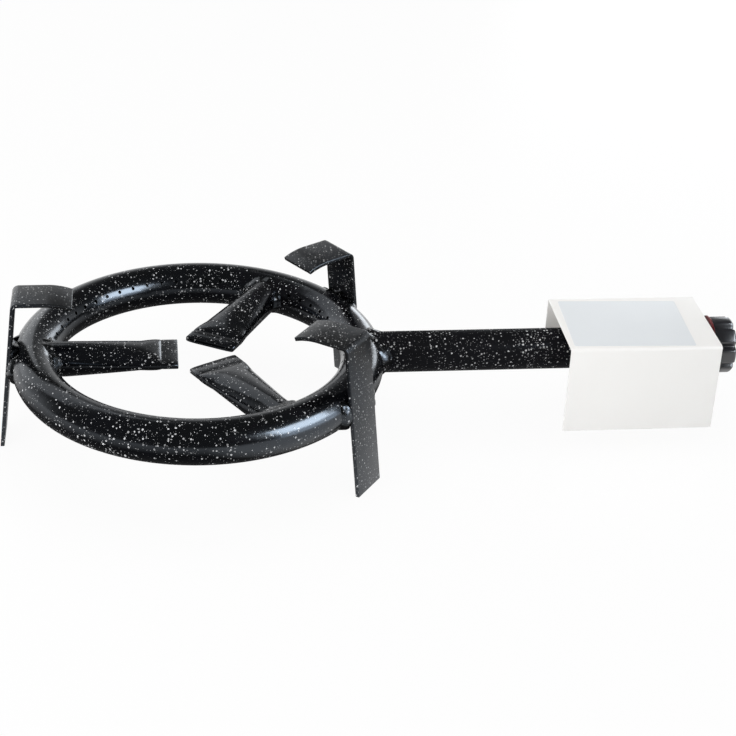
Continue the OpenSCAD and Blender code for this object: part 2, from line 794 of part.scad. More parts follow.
// Bonnet: closes the body, stops the spindle's lug at both ends of its turn and carries the threaded neck
module bonnet() color("#c9a24a") {
    hollow_len = shoulder_x - bonnet_x;
    difference() {
        union() {
            on_axis(bonnet_x) cylinder(d = bonnet_d, h = bonnet_len);
            on_axis(bonnet_x) linear_extrude(ear_t) ear_outline();
            on_axis(plate_x - eps) cylinder(d = neck_d, h = neck_end - plate_x + eps);
        }
        on_axis(bonnet_x - eps) cylinder(d = bonnet_hollow_d, h = hollow_len + eps);
        on_axis(shoulder_x - eps) cylinder(d = spindle_d + 2 * running_gap, h = neck_end);
        on_axis(bonnet_x - eps) at_screws() cylinder(d = screw_d + 2 * thread_gap, h = ear_t + 2 * eps);
    }
    on_axis(flange_x - seat_gap) rotate(tap_turn + lug_half_angle)
        rotate_extrude(angle = 360 - tap_turn - 2 * lug_half_angle)
            translate([stop_inner_d / 2, 0])
                square([(bonnet_hollow_d - stop_inner_d) / 2 + eps, shoulder_x - flange_x + seat_gap + eps]);
}

module bonnet_screws() color("#b9b9bd") on_axis(bonnet_x - ear_t) at_screws() {
    slot_w = 0.8;
    slot_depth = 1;
    difference() {
        union() {
            cylinder(d = screw_d - 2 * thread_gap, h = 2 * ear_t + eps);
            translate([0, 0, 2 * ear_t]) cylinder(d = screw_head_d, h = screw_head_t);
        }
        translate([-screw_head_d, -slot_w / 2, 2 * ear_t + screw_head_t - slot_depth])
            cube([2 * screw_head_d, slot_w, slot_depth + eps]);
    }
}

module neck_washer() color("#b9b9bd") on_axis(washer_x) {
    tube_ring(neck_nut_hex + 2, neck_d + 2 * thread_gap, neck_washer_t);
}

module neck_nut() color("#b9b9bd") on_axis(nut_x) difference() {
    hexagon(neck_nut_hex, neck_nut_t);
    translate([0, 0, -eps]) cylinder(d = neck_d + 2 * thread_gap, h = neck_nut_t + 2 * eps);
}

module inlet_washer() color("#8a5a3a") at_inlet(inlet_face) {
    tube_ring(inlet_boss_d, inlet_shank_d + 2 * thread_gap, inlet_washer_t);
}

// Hose connector: the thread that a hose nut takes points down through the cover's open bottom
module inlet_fitting() color("#c9a24a") at_inlet(inlet_face + inlet_washer_t) {
    lead_in = 1;
    end = inlet_hex_len + inlet_len;
    difference() {
        union() {
            translate([0, 0, -inlet_shank_len])
                cylinder(d = inlet_shank_d - 2 * thread_gap, h = inlet_shank_len + eps);
            hexagon(inlet_hex, inlet_hex_len);
            translate([0, 0, inlet_hex_len]) cylinder(d = inlet_d, h = inlet_len);
            translate([0, 0, end]) cylinder(d1 = inlet_d, d2 = inlet_d - 2 * lead_in, h = lead_in);
        }
        translate([0, 0, -inlet_shank_len - eps])
            cylinder(d = inlet_bore, h = inlet_shank_len + end + lead_in + 2 * eps);
    }
}

// Outline of the grip: a circle with evenly spaced grooves that leave wide lobes between them
module grip_outline() {
    pitch = 360 / knob_lobes;
    half = asin(groove_w / knob_d);
    groove_steps = 5;
    lobe_steps = 5;
    groove = [for (k = [-groove_steps : groove_steps]) k / groove_steps];
    lobe = [for (k = [1 : lobe_steps - 1]) k / lobe_steps];
    polygon([for (i = [0 : knob_lobes - 1])
        let (middle = 180 - lobe_turn + pitch * (i + 0.5))
        each concat(
            [for (s = groove)
                let (r = knob_d / 2 - groove_h * (1 + cos(180 * s)) / 2)
                r * [cos(middle + s * half), sin(middle + s * half)]],
            [for (s = lobe)
                let (a = middle + half + s * (pitch - 2 * half))
                knob_d / 2 * [cos(a), sin(a)]]
        )
    ]);
}

// Half-section of the grip, whose front edge is round
module grip_section() {
    r = knob_d / 2 + seat_gap;
    square([r - knob_edge_r, knob_len]);
    square([r, knob_len - knob_edge_r]);
    translate([r - knob_edge_r, knob_len - knob_edge_r]) circle(knob_edge_r);
}

// Bore of the hub: round on the shaft, flat where the spring leaf presses
module hub_bore() {
    intersection() {
        circle(shaft_d / 2 + running_gap);
        translate([-shaft_d, hub_flat_y - 2 * shaft_d]) square(2 * shaft_d);
    }
}

module knob() color("#161618") {
    difference() {
        union() {
            on_axis(grip_x) intersection() {
                linear_extrude(knob_len) grip_outline();
                rotate_extrude() grip_section();
            }
            on_axis(hub_x) cylinder(d = hub_d, h = grip_x - hub_x + eps);
        }
        on_axis(hub_x - eps) linear_extrude(knob_end - knob_face_t - hub_x + eps) hub_bore();
    }
}

module knob_ring() color("#8f1d1d") on_axis(knob_back)
    tube_ring(knob_ring_d, hub_d + 2 * thread_gap, knob_ring_t);

module knob_clip() color("#d0d0d4") {
    translate([hub_x + 1, leaf_y, ring_height - leaf_w / 2]) cube([leaf_len, leaf_t, leaf_w]);
}

ring_tube();
feed_tube();
jet_left();
jet_back();
jet_front();
leg_left();
leg_back();
leg_front();
feed_weld();
jet_welds();
leg_welds();
tap_bracket();
bracket_weld();
cover();
label();
cover_studs();
stud_washers();
stud_nuts();
injector();
tap_body();
tap_plug();
plug_spring();
spindle();
bonnet();
bonnet_screws();
neck_washer();
neck_nut();
inlet_washer();
inlet_fitting();
knob();
knob_ring();
knob_clip();
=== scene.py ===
# %% [markdown]
# A paella burner, dressed in Blender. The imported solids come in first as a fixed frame: they say where
# every piece is and what it rides on. Each step after that makes one piece or one finish of the real
# burner and lays it over its solid.

# %% Load the frame and keep its box
import math

import bmesh
import bpy
import numpy as np
from mathutils import Matrix, Vector, noise


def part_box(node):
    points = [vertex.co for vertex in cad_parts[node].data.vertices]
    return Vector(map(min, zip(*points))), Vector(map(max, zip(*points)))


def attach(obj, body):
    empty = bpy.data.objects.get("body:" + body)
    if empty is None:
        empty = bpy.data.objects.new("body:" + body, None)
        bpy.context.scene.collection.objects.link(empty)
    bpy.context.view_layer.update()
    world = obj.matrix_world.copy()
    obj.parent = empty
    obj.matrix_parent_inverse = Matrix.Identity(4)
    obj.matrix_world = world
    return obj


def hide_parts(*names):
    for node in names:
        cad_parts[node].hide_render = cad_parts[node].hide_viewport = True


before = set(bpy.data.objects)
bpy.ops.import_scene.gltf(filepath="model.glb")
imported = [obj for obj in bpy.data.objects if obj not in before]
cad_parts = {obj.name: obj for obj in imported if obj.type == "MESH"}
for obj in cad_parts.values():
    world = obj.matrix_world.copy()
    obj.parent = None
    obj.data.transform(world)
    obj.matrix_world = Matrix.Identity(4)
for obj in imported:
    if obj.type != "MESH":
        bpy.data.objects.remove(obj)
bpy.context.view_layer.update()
MM = 0.001

# %% [markdown]
# Most sizes are read from the frame, so that a changed solid moves its finished piece too. What a box
# can't tell, such as a bend's radius or a wall, is named once, here or beside its piece. root_share says
# how far inside the ring's tube a joined tube starts, in radii from the tube's middle.

# %% Sizes of the burner
ring_low, ring_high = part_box("ring_tube")
ring_r = (ring_high.z - ring_low.z) / 2
ring_z = (ring_high.z + ring_low.z) / 2
ring_mean = ring_high.y - ring_r
feed_low, feed_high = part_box("feed_tube")
feed_r = (feed_high.z - feed_low.z) / 2
feed_end = feed_high.x
cover_low, cover_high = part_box("cover")
label_low, label_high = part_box("label")
leg_low, leg_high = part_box("leg_left")
tube_wall = 2 * MM
jet_r = 9.5 * MM
jet_wall = 1.5 * MM
root_share = 0.6
jet_angles = {"jet_left": 180, "jet_back": 60, "jet_front": -60}
leg_angles = {"leg_left": 180, "leg_back": 33.5, "leg_front": -36}
print("ring", round(ring_mean, 4), round(ring_r, 5), "feed", round(feed_r, 5), "to", round(feed_end, 4))

# %% [markdown]
# Node trees could be wired by hand, link by link, but they are easier to read as arithmetic. A Wire is
# one value on its way between nodes, and + - * / on it add Math nodes. A Board is the tree itself, and
# its add method makes any other node: first the settings, then the sockets, each with a number or with
# another Wire. Its vector method does the same for places and directions.

# %% Wires and boards
class Wire:
    """One socket's value. Arithmetic on it adds Math nodes to its board."""

    def __init__(self, board, socket):
        self.board = board
        self.socket = socket

    def __add__(self, other):
        return self.board.math("ADD", self, other)

    def __radd__(self, other):
        return self.board.math("ADD", other, self)

    def __sub__(self, other):
        return self.board.math("SUBTRACT", self, other)

    def __rsub__(self, other):
        return self.board.math("SUBTRACT", other, self)

    def __mul__(self, other):
        return self.board.math("MULTIPLY", self, other)

    def __rmul__(self, other):
        return self.board.math("MULTIPLY", other, self)

    def __truediv__(self, other):
        return self.board.math("DIVIDE", self, other)

    def __rtruediv__(self, other):
        return self.board.math("DIVIDE", other, self)

    def clamped(self):
        return self.board.add("ShaderNodeClamp", {}, {"Value": self})


class Board:
    """A node tree. add() makes one node and returns the wire from one of its outputs."""

    def __init__(self, tree):
        self.tree = tree

    def add(self, kind, settings, sockets, output=0):
        node = self.tree.nodes.new(kind)
        for name, value in settings.items():
            setattr(node, name, value)
        for key, value in sockets.items():
            socket = node.inputs[key]
            if isinstance(value, Wire):
                self.tree.links.new(value.socket, socket)
            else:
                socket.default_value = value
        return Wire(self, node.outputs[output])

    def math(self, operation, *values):
        return self.add("ShaderNodeMath", {"operation": operation}, dict(enumerate(values)))

    def vector(self, operation, sockets, output=0):
        return self.add("ShaderNodeVectorMath", {"operation": operation}, sockets, output)


print("boards ready")

# %% [markdown]
# A finish is a material. It starts as one Principled shader, and each recipe below wires what changes
# over the surface into its colour, its roughness and its bump.

# %% Finishes: the shared start
class Finish(Board):
    """A material with one Principled shader, and the textures that most recipes need."""

    def __init__(self, name, **constants):
        self.material = bpy.data.materials.new(name)
        self.material.use_nodes = True
        super().__init__(self.material.node_tree)
        self.shader = self.tree.nodes["Principled BSDF"]
        for socket, value in constants.items():
            self.shader.inputs[socket.replace("_", " ")].default_value = value
        self.place = self.add("ShaderNodeTexCoord", {}, {}, "Object")

    def feed(self, socket, wire):
        self.tree.links.new(wire.socket, self.shader.inputs[socket])

    def noise(self, size, detail=2.0, place=None, output="Fac"):
        sockets = {"Vector": place or self.place, "Scale": 1 / size, "Detail": detail}
        return self.add("ShaderNodeTexNoise", {}, sockets, output)

    def mixed(self, factor, first, second):
        settings = {"data_type": "RGBA"}
        return self.add("ShaderNodeMix", settings, {"Factor": factor, 6: first, 7: second}, 2)

    def shaken(self, size, reach):
        """The object's coordinates, pushed about by noise of that size and by that reach."""
        wobble = self.noise(size, 1.0, output="Color")
        centred = self.vector("SUBTRACT", {0: wobble, 1: (0.5, 0.5, 0.5)})
        scaled = self.vector("SCALE", {0: centred, "Scale": 2 * reach})
        return self.vector("ADD", {0: self.place, 1: scaled})

    def bump(self, height, depth):
        """Height from 0 to 1, and how deep that is in metres."""
        sockets = {"Height": height, "Distance": depth, "Strength": 1.0}
        normal = self.add("ShaderNodeBump", {}, sockets, "Normal")
        self.feed("Normal", normal)
        return normal

    def overlaid(self, share, second):
        """Mixes a second shader over the first, by that share, and makes the mix the surface."""
        first = Wire(self, self.shader.outputs[0])
        mix = self.add("ShaderNodeMixShader", {}, {0: share, 1: first, 2: second})
        self.tree.links.new(mix.socket, self.tree.nodes["Material Output"].inputs["Surface"])

    def dulled(self, share, colour, normal):
        """Mixes in a dull shader of the same colour by a share that changes over the surface: painted shade.
        """
        sockets = {"Base Color": colour, "Normal": normal, "Roughness": 0.6, "Specular IOR Level": 0.01}
        self.overlaid(share, self.add("ShaderNodeBsdfPrincipled", {}, sockets))


def grey(value, blue=0.0):
    return (value, value, value + blue, 1)


print("finishes can be mixed")

# %% [markdown]
# The burner's enamel is glass fired onto steel: wet-looking black with white specks thrown over it. The
# specks could be modelled one by one, but a texture in the object's own coordinates runs over every piece
# in the same way. They are the middles of Voronoi cells. Each cell draws its own speck size from its
# random colour, some cells draw none, and slow noise gathers the specks into denser and barer stretches.

# %% Finish: specks of the enamel
def specks(finish, cell, share, largest, seed_shift):
    """White specks, 1 in a speck and 0 outside. share of the cells carry one; largest is in cells."""
    crowd_size, crowding = 16 * MM, 0.6
    soft_edge, faintest = 0.12, 0.3
    shaken = finish.shaken(cell * 0.5, cell * 0.12)
    moved = finish.vector("ADD", {0: shaken, 1: seed_shift})
    settings = {"voronoi_dimensions": "3D", "feature": "F1"}
    sockets = {"Vector": moved, "Scale": 1 / cell, "Randomness": 1.0}
    distance = finish.add("ShaderNodeTexVoronoi", settings, sockets, "Distance")
    draw = finish.add("ShaderNodeTexVoronoi", settings, sockets, "Color")
    red = finish.add("ShaderNodeSeparateColor", {}, {"Color": draw}, "Red")
    green = finish.add("ShaderNodeSeparateColor", {}, {"Color": draw}, "Green")
    crowd = finish.noise(crowd_size, 1.0)
    luck = ((red - (1 - share) + (crowd - 0.5) * crowding) / share).clamped()
    spot = ((luck * largest - distance) / soft_edge).clamped()
    return spot * (luck * 4).clamped() * (faintest + green * (1 - faintest))


print("specks can be thrown")

# %% [markdown]
# Undersides get a duller skin that takes their reflection away: painted shade, laid by the direction
# each face looks. A second, painted map could say where, but the surface's own direction tells it
# already. A slow change along one line gives the gloss back towards the front right, on the lit side:
# painted light. The feed tube is dull all round, painted shade that takes its highlight away. Strips and
# welds share the recipe, with other specks and another gloss; on the strips the line runs upright, so
# their upper parts are painted darker.

# %% Finish: speckled enamel
cool_glint = (0.80, 0.89, 1.0, 1)
speck_white = (0.70, 0.71, 0.72, 1)
blue_black = (0.002, 0.002, 0.0032, 1)
glass_ior = 1.65
glaze_wave = 0.11 * MM
dullest = 0.97
by_front_leg = (5.0, -9.0, 0.0)
upright = (0.0, 0.0, 1.0)


def enamel(name, black, second, dullness, cell, share, largest, upright_shade, gloss,
           lit_line=upright, shaded_at=0.0, lit_at=1.0, gain=0.0):
    """Two blacks that drift into each other, with specks, and painted shade: a dull skin on some faces.

    upright_shade is the dull share of an upright face: painted shade that takes the reflection away.
    Faces that look up get less of it, and faces that look down more. Along lit_line, from shaded_at to
    lit_at, up to gain is taken off it: painted light on the lit side.
    """
    finish = Finish(name, Specular_IOR_Level=gloss, Specular_Tint=cool_glint, IOR=glass_ior)
    big = specks(finish, cell, share, largest, (0.0, 0.0, 0.0))
    fine = specks(finish, cell * 0.5, share * 0.7, largest * 0.85, (0.37, 0.11, 0.23))
    white = (big * 0.9 + fine * 0.7).clamped()
    ground = finish.mixed((finish.noise(22 * MM, 2.0) * 2 - 0.5).clamped(), black, second)
    colour = finish.mixed(white, ground, speck_white)
    cloud = finish.noise(11 * MM, 3.0)
    ripple = finish.noise(6 * MM, 2.0)
    finish.feed("Base Color", colour)
    finish.feed("Roughness", dullness + cloud * dullness * 0.6 + white * 0.12)
    normal = finish.bump(ripple * 0.8 + white * 0.2, glaze_wave)
    facing = finish.add("ShaderNodeNewGeometry", {}, {}, "Normal")
    height = finish.add("ShaderNodeSeparateXYZ", {}, {0: facing}, "Z")
    line = finish.vector("DOT_PRODUCT", {0: finish.place, 1: lit_line}, "Value")
    lit_share = ((line - shaded_at) / (lit_at - shaded_at)).clamped() * gain
    # painted shade: the dull shader takes the reflection off faces that look down, and less on the lit side
    finish.dulled((upright_shade - lit_share - height * 2).clamped() * dullest, colour, normal)
    return finish.material


# each enamel's painted shade: ring and welds keep gloss towards the front right, the feed is dull all round,
# the strips are dull higher up
tube_enamel = enamel(
    "speckled_enamel", grey(0.0018), blue_black, dullness=0.14, cell=1.8 * MM, share=0.85, largest=0.375,
    upright_shade=0.85, gloss=0.5, lit_line=by_front_leg, shaded_at=0.90, lit_at=1.04, gain=1.4)
feed_enamel = enamel(
    "feed_enamel", (0.0068, 0.0070, 0.0078, 1), (0.0075, 0.0074, 0.0092, 1),
    dullness=0.16, cell=1.65 * MM, share=0.95, largest=0.38, upright_shade=3.0, gloss=0.4)
strip_enamel = enamel(
    "strip_enamel", (0.006, 0.0055, 0.005, 1), (0.005, 0.006, 0.008, 1),
    dullness=0.24, cell=1.35 * MM, share=0.95, largest=0.38,
    upright_shade=0.80, gloss=0.38, lit_line=upright, shaded_at=0.086, lit_at=0.0, gain=0.85)
weld_enamel = enamel(
    "weld_enamel", grey(0.0015), grey(0.0025), dullness=0.17, cell=2.0 * MM, share=0.8, largest=0.40,
    upright_shade=0.7, gloss=0.45, lit_line=by_front_leg, shaded_at=0.90, lit_at=1.04, gain=0.8)
print("enamels", [m.name for m in (tube_enamel, feed_enamel, strip_enamel, weld_enamel)])

# %% [markdown]
# The cover is sheet steel with a warm white powder paint. Powder melts into a skin with a fine orange
# peel. One flat colour would look like paper, so the colour drifts slightly, and one fine noise gives
# both the small, even bump and the change in gloss that belongs to it.

# %% Finish: cover paint
def cover_paint():
    finish = Finish("cover_paint", Specular_IOR_Level=0.4)
    drift = finish.noise(45 * MM, 2.0)
    finish.feed("Base Color", finish.mixed(drift, (0.85, 0.84, 0.82, 1), (0.875, 0.868, 0.85, 1)))
    peel = finish.noise(1.1 * MM, 2.0)
    finish.feed("Roughness", 0.34 + peel * 0.12)
    finish.bump(peel, 0.03 * MM)
    return finish.material


cover_white = cover_paint()
print("finish", cover_white.name)

# %% [markdown]
# The label on the cover is a pale, faintly bluish film. Film shows a weak sheen and long, very shallow
# waves where air stayed under it. The waves could be modelled, but they are too low to change the
# outline, so a bump is enough.

# %% Finish: label film
def label_film():
    finish = Finish("label_film", Specular_IOR_Level=0.45)
    tint = finish.noise(30 * MM, 2.0)
    finish.feed("Base Color", finish.mixed(tint, (0.71, 0.74, 0.765, 1), (0.74, 0.77, 0.79, 1)))
    fibre = finish.noise(0.7 * MM, 3.0)
    finish.feed("Roughness", 0.38 + fibre * 0.15)
    waves = finish.noise(16 * MM, 1.0)
    finish.bump(waves * 0.9 + fibre * 0.1, 0.10 * MM)
    return finish.material


label_pale = label_film()
print("finish", label_pale.name)

# %% [markdown]
# The tap's metals are brass from the lathe, zinc on the fasteners and bright spring steel. Turned metal
# has fine rings round its axis. Noise that is stretched along one direction gives such streaks without a
# texture that has to know each piece's axis.

# %% Finishes: metals
def metal(name, colour, dark, dullness, streak):
    finish = Finish(name, Metallic=1.0)
    stretch = finish.add("ShaderNodeMapping", {}, {"Vector": finish.place, "Scale": streak})
    lines = finish.noise(0.5 * MM, 3.0, stretch)
    stain = finish.noise(9 * MM, 3.0)
    finish.feed("Base Color", finish.mixed((stain * 1.6 - 0.3).clamped(), colour, dark))
    finish.feed("Roughness", dullness + lines * 0.14 + stain * 0.10)
    finish.bump(lines, 0.01 * MM)
    return finish.material


turned_streak = (1.0, 0.1, 0.1)
drawn_streak = (0.3, 1.0, 1.0)
tap_brass = metal("tap_brass", (0.78, 0.56, 0.24, 1), (0.60, 0.40, 0.16, 1), 0.18, turned_streak)
zinc_steel = metal("zinc_steel", (0.66, 0.67, 0.69, 1), (0.52, 0.52, 0.53, 1), 0.24, drawn_streak)
spring_steel = metal("spring_steel", (0.60, 0.60, 0.62, 1), (0.45, 0.45, 0.46, 1), 0.20, turned_streak)
print("metals", tap_brass.name, zinc_steel.name, spring_steel.name)

# %% [markdown]
# The knob is moulded plastic with a fine grain, the ring behind it is dark red plastic, and the seal in
# the gas inlet is pressed red-brown fibre. All three are a grain on one drifting colour, so one recipe
# serves them, with a finer, deeper grain for the fibre's dull surface.

# %% Finishes: plastics and fibre
def grained(name, colour, second, dullness, grain_size, grain_depth, gloss=0.5):
    finish = Finish(name, Specular_IOR_Level=gloss)
    grain = finish.noise(grain_size, 3.0)
    wear = finish.noise(7 * MM, 2.0)
    finish.feed("Base Color", finish.mixed(wear, colour, second))
    finish.feed("Roughness", dullness + grain * 0.10 + wear * 0.06)
    finish.bump(grain, grain_depth)
    return finish.material


knob_black = grained("knob_plastic", grey(0.008, 0.002), grey(0.012, 0.003),
                     dullness=0.24, grain_size=0.5 * MM, grain_depth=0.010 * MM, gloss=1.0)
ring_red = grained("ring_plastic", (0.11, 0.003, 0.006, 1), (0.13, 0.005, 0.008, 1),
                   dullness=0.22, grain_size=0.8 * MM, grain_depth=0.008 * MM)
fibre_brown = grained("fibre_washer", (0.30, 0.10, 0.06, 1), (0.40, 0.16, 0.09, 1),
                      dullness=0.7, grain_size=0.3 * MM, grain_depth=0.05 * MM)
print("plastics", knob_black.name, ring_red.name, fibre_brown.name)

# %% [markdown]
# Every finished mesh goes into the scene in the same way: it gets its finish, it rides on the body that
# its solid moves with, and the solid steps back.

# %% Helper: a finished piece
def piece(name, mesh, material, node, body="burner"):
    """Puts a finished mesh in the scene in place of its solid, on the body that the solid moves with."""
    mesh.materials.clear()
    mesh.materials.append(material)
    obj = bpy.data.objects.new(name, mesh)
    bpy.context.scene.collection.objects.link(obj)
    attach(obj, body)
    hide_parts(node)


print("pieces can be placed")

# %% [markdown]
# Two ways of making meshes serve nearly every piece. A loft joins equal rings of points, which suits
# tubes, beads and the squashed jets. An extruded outline suits the bent strips and the folded cover.
# Modifiers could round the edges too, but bmesh does it on the spot and leaves plain meshes.

# %% Helpers: lofts and bars
def shaded(mesh, angle):
    """Smooth faces, with edges sharper than angle kept crisp."""
    mesh.polygons.foreach_set("use_smooth", [True] * len(mesh.polygons))
    mesh.set_sharp_from_angle(angle=math.radians(angle))
    return mesh


def loft(name, rings, closed=False, angle=40):
    """Joins equal rings of points. closed joins the last ring to the first, and open ends get caps."""
    rings = np.asarray(rings, float)
    count, sides = rings.shape[:2]
    faces = []
    for i in range(count if closed else count - 1):
        for j in range(sides):
            k = (j + 1) % sides
            n = (i + 1) % count
            faces.append((i * sides + j, i * sides + k, n * sides + k, n * sides + j))
    if not closed:
        faces.append(tuple(range(sides - 1, -1, -1)))
        faces.append(tuple((count - 1) * sides + j for j in range(sides)))
    mesh = bpy.data.meshes.new(name)
    mesh.from_pydata(rings.reshape(-1, 3).tolist(), [], faces)
    work = bmesh.new()
    work.from_mesh(mesh)
    bmesh.ops.recalc_face_normals(work, faces=work.faces)
    work.to_mesh(mesh)
    work.free()
    return shaded(mesh, angle)


def rounded(work, edges, offset, segments):
    bmesh.ops.bevel(work, geom=edges, offset=offset, segments=segments, profile=0.5, affect="EDGES",
                    clamp_overlap=True)


def extruded(name, outline, half_width, edge, to_place):
    """An outline in X and Z, made into a bar of that half width along Y, with edges rounded by edge."""
    work = bmesh.new()
    flat = [work.verts.new((x, -half_width, z)) for x, z in outline]
    face = work.faces.new(flat)
    grown = bmesh.ops.extrude_face_region(work, geom=[face])["geom"]
    moved = [v for v in grown if isinstance(v, bmesh.types.BMVert)]
    bmesh.ops.translate(work, verts=moved, vec=(0, 2 * half_width, 0))
    bmesh.ops.recalc_face_normals(work, faces=work.faces)
    crisp = [e for e in work.edges if e.calc_face_angle(0) > math.radians(50)]
    rounded(work, crisp, edge, 4)
    work.transform(to_place)
    mesh = bpy.data.meshes.new(name)
    work.to_mesh(mesh)
    work.free()
    return shaded(mesh, 40)


print("lofts and bars ready")

# %% [markdown]
# Outlines are drawn with straight runs and arcs. Pieces round the ring are made as if they lay along +X
# from the ring's centre, and are then turned to their place: that keeps their sums short.

# %% Helpers: arcs and turns
def arc(x, z, r, start, end, steps=14):
    angles = np.radians(np.linspace(start, end, steps + 1))
    return [(x + r * math.cos(a), z + r * math.sin(a)) for a in angles]


def turned(points, degrees):
    """Points turned round the burner's upright axis and lifted to the ring's height."""
    points = np.asarray(points, float)
    c, s = math.cos(math.radians(degrees)), math.sin(math.radians(degrees))
    x, y, z = points[..., 0], points[..., 1], points[..., 2]
    return np.stack([x * c - y * s, x * s + y * c, z + ring_z], -1)


print("arcs and turns ready")

# %% [markdown]
# What repeats or follows a path is written down as a rule in Geometry Nodes: named sizes go in, a mesh
# comes out. The same shapes could be worked out point by point, but a rule stays readable and runs again
# with other sizes. Its result is kept as a plain mesh, because the export doesn't carry a live tree.

# %% Geometry Nodes: the shared start
def rule(name, inputs):
    """A geometry tree with named number inputs. Gives its board, a wire for each input and the tree."""
    tree = bpy.data.node_groups.new(name, "GeometryNodeTree")
    board = Board(tree)
    for label, kind in inputs.items():
        tree.interface.new_socket(label, in_out="INPUT", socket_type=kind)
    tree.interface.new_socket("Geometry", in_out="OUTPUT", socket_type="NodeSocketGeometry")
    entry = tree.nodes.new("NodeGroupInput")
    wires = {label: Wire(board, entry.outputs[label]) for label in inputs}
    return board, wires, tree


def close_rule(board, geometry, material):
    """The rule's end: instances become real, smooth and painted."""
    real = board.add("GeometryNodeRealizeInstances", {}, {"Geometry": geometry})
    smooth = board.add("GeometryNodeSetShadeSmooth", {}, {"Geometry": real, "Shade Smooth": True})
    painted = board.add("GeometryNodeSetMaterial", {}, {"Geometry": smooth, "Material": material})
    out = board.tree.nodes.new("NodeGroupOutput")
    board.tree.links.new(painted.socket, out.inputs["Geometry"])


def outward(mesh):
    """Turns all faces over if they point into the piece."""
    work = bmesh.new()
    work.from_mesh(mesh)
    if work.calc_volume(signed=True) < 0:
        bmesh.ops.reverse_faces(work, faces=work.faces)
        work.to_mesh(mesh)
    work.free()
    return mesh


def follow(name, tree, values):
    """Runs a rule with these values and keeps the result as a plain mesh."""
    obj = bpy.data.objects.new(name + "_rule", bpy.data.meshes.new(name + "_start"))
    bpy.context.scene.collection.objects.link(obj)
    modifier = obj.modifiers.new("rule", "NODES")
    modifier.node_group = tree
    for item in tree.interface.items_tree:
        if item.in_out == "INPUT":
            modifier[item.identifier] = values[item.name]
    depsgraph = bpy.context.evaluated_depsgraph_get()
    mesh = bpy.data.meshes.new_from_object(obj.evaluated_get(depsgraph))
    mesh.name = name
    bpy.data.objects.remove(obj)
    return outward(mesh)


FLOAT = "NodeSocketFloat"
COUNT = "NodeSocketInt"
print("rules ready")

# %% [markdown]
# The ring is the burner's main piece, and its shape is a rule: a circle swept round a circle, with a row
# of flame ports drilled at an even pitch into its inner side, except where a jet grows out of it. The
# ports could be cut one by one. Here the drill is an instance at every place, and one boolean cuts them
# all.

# %% Rule: a ring with flame ports
def ring_rule():
    inputs = {"Mean radius": FLOAT, "Tube radius": FLOAT, "Port radius": FLOAT, "Port depth": FLOAT,
              "Port lift": FLOAT, "Ports": COUNT, "Bare half angle": FLOAT}
    board, size, tree = rule("ring_with_ports", inputs)
    circle = "GeometryNodeCurvePrimitiveCircle"
    path = board.add(circle, {}, {"Resolution": 360, "Radius": size["Mean radius"]})
    section = board.add(circle, {}, {"Resolution": 72, "Radius": size["Tube radius"]})
    ring = board.add("GeometryNodeCurveToMesh", {}, {"Curve": path, "Profile Curve": section})
    lift_cos = board.math("COSINE", size["Port lift"])
    lift_sin = board.math("SINE", size["Port lift"])
    row_radius = size["Mean radius"] - size["Tube radius"] * lift_cos
    row = board.add("GeometryNodeMeshCircle", {}, {"Vertices": size["Ports"], "Radius": row_radius})
    place = board.add("GeometryNodeInputPosition", {}, {})
    level = board.vector("MULTIPLY", {0: place, 1: (1.0, 1.0, 0.0)})
    radial = board.vector("NORMALIZE", {0: level})
    kept = None
    for angle in jet_angles.values():
        jet_way = (math.cos(math.radians(angle)), math.sin(math.radians(angle)), 0)
        toward = board.vector("DOT_PRODUCT", {0: radial, 1: jet_way}, "Value")
        apart = board.math("ARCCOSINE", toward)
        clear = board.math("GREATER_THAN", apart, size["Bare half angle"])
        kept = clear if kept is None else kept * clear
    inward = board.vector("SCALE", {0: radial, "Scale": lift_cos * -1})
    upward = board.add("ShaderNodeCombineXYZ", {}, {"Z": lift_sin})
    drill_way = board.vector("ADD", {0: inward, 1: upward})
    turn = board.add("FunctionNodeAlignRotationToVector", {"axis": "Z"}, {"Vector": drill_way})
    drill = board.add("GeometryNodeMeshCylinder", {},
                      {"Vertices": 20, "Radius": size["Port radius"], "Depth": size["Port depth"]})
    lifted = board.add("ShaderNodeCombineXYZ", {}, {"Z": size["Tube radius"] * lift_sin})
    half_pitch = board.add("ShaderNodeCombineXYZ", {}, {"Z": math.pi / size["Ports"]})
    turned_on = board.add("FunctionNodeEulerToRotation", {}, {0: half_pitch})
    raised = board.add("GeometryNodeTransform", {},
                       {"Geometry": row, "Translation": lifted, "Rotation": turned_on})
    drills = board.add("GeometryNodeInstanceOnPoints", {},
                       {"Points": raised, "Selection": kept, "Instance": drill, "Rotation": turn})
    solid_drills = board.add("GeometryNodeRealizeInstances", {}, {"Geometry": drills})
    cut = board.add("GeometryNodeMeshBoolean", {"operation": "DIFFERENCE", "solver": "EXACT"},
                    {"Mesh 1": ring, "Mesh 2": solid_drills})
    close_rule(board, cut, tube_enamel)
    return tree


port_lift = math.radians(32)
port_pitch = 8.5 * MM
port_count = int(2 * math.pi * (ring_mean - ring_r * math.cos(port_lift)) / port_pitch)
jet_bead = 3.5 * MM
port_d = 2 * MM
bare_half_angle = math.asin((jet_r + jet_bead + port_d) / (ring_mean - ring_r))
ring_mesh = follow("ring_tube_finished", ring_rule(), {
    "Mean radius": ring_mean, "Tube radius": ring_r, "Port radius": port_d / 2, "Port depth": 2 * tube_wall,
    "Port lift": port_lift, "Ports": port_count, "Bare half angle": bare_half_angle,
})
print("ring mesh", len(ring_mesh.polygons), "faces,", port_count, "port places")

# %% [markdown]
# A boolean leaves long thin faces round each hole, and a gloss surface would show them as dents. A finer
# mesh would only hide them. On the ring the true direction of the surface is known everywhere, so it is
# written in: faces on the tube take the tube's own direction, and the walls of the ports keep theirs.

# %% Ring: true surface directions
skin_depth = 0.05 * MM
skin_slant = 0.8


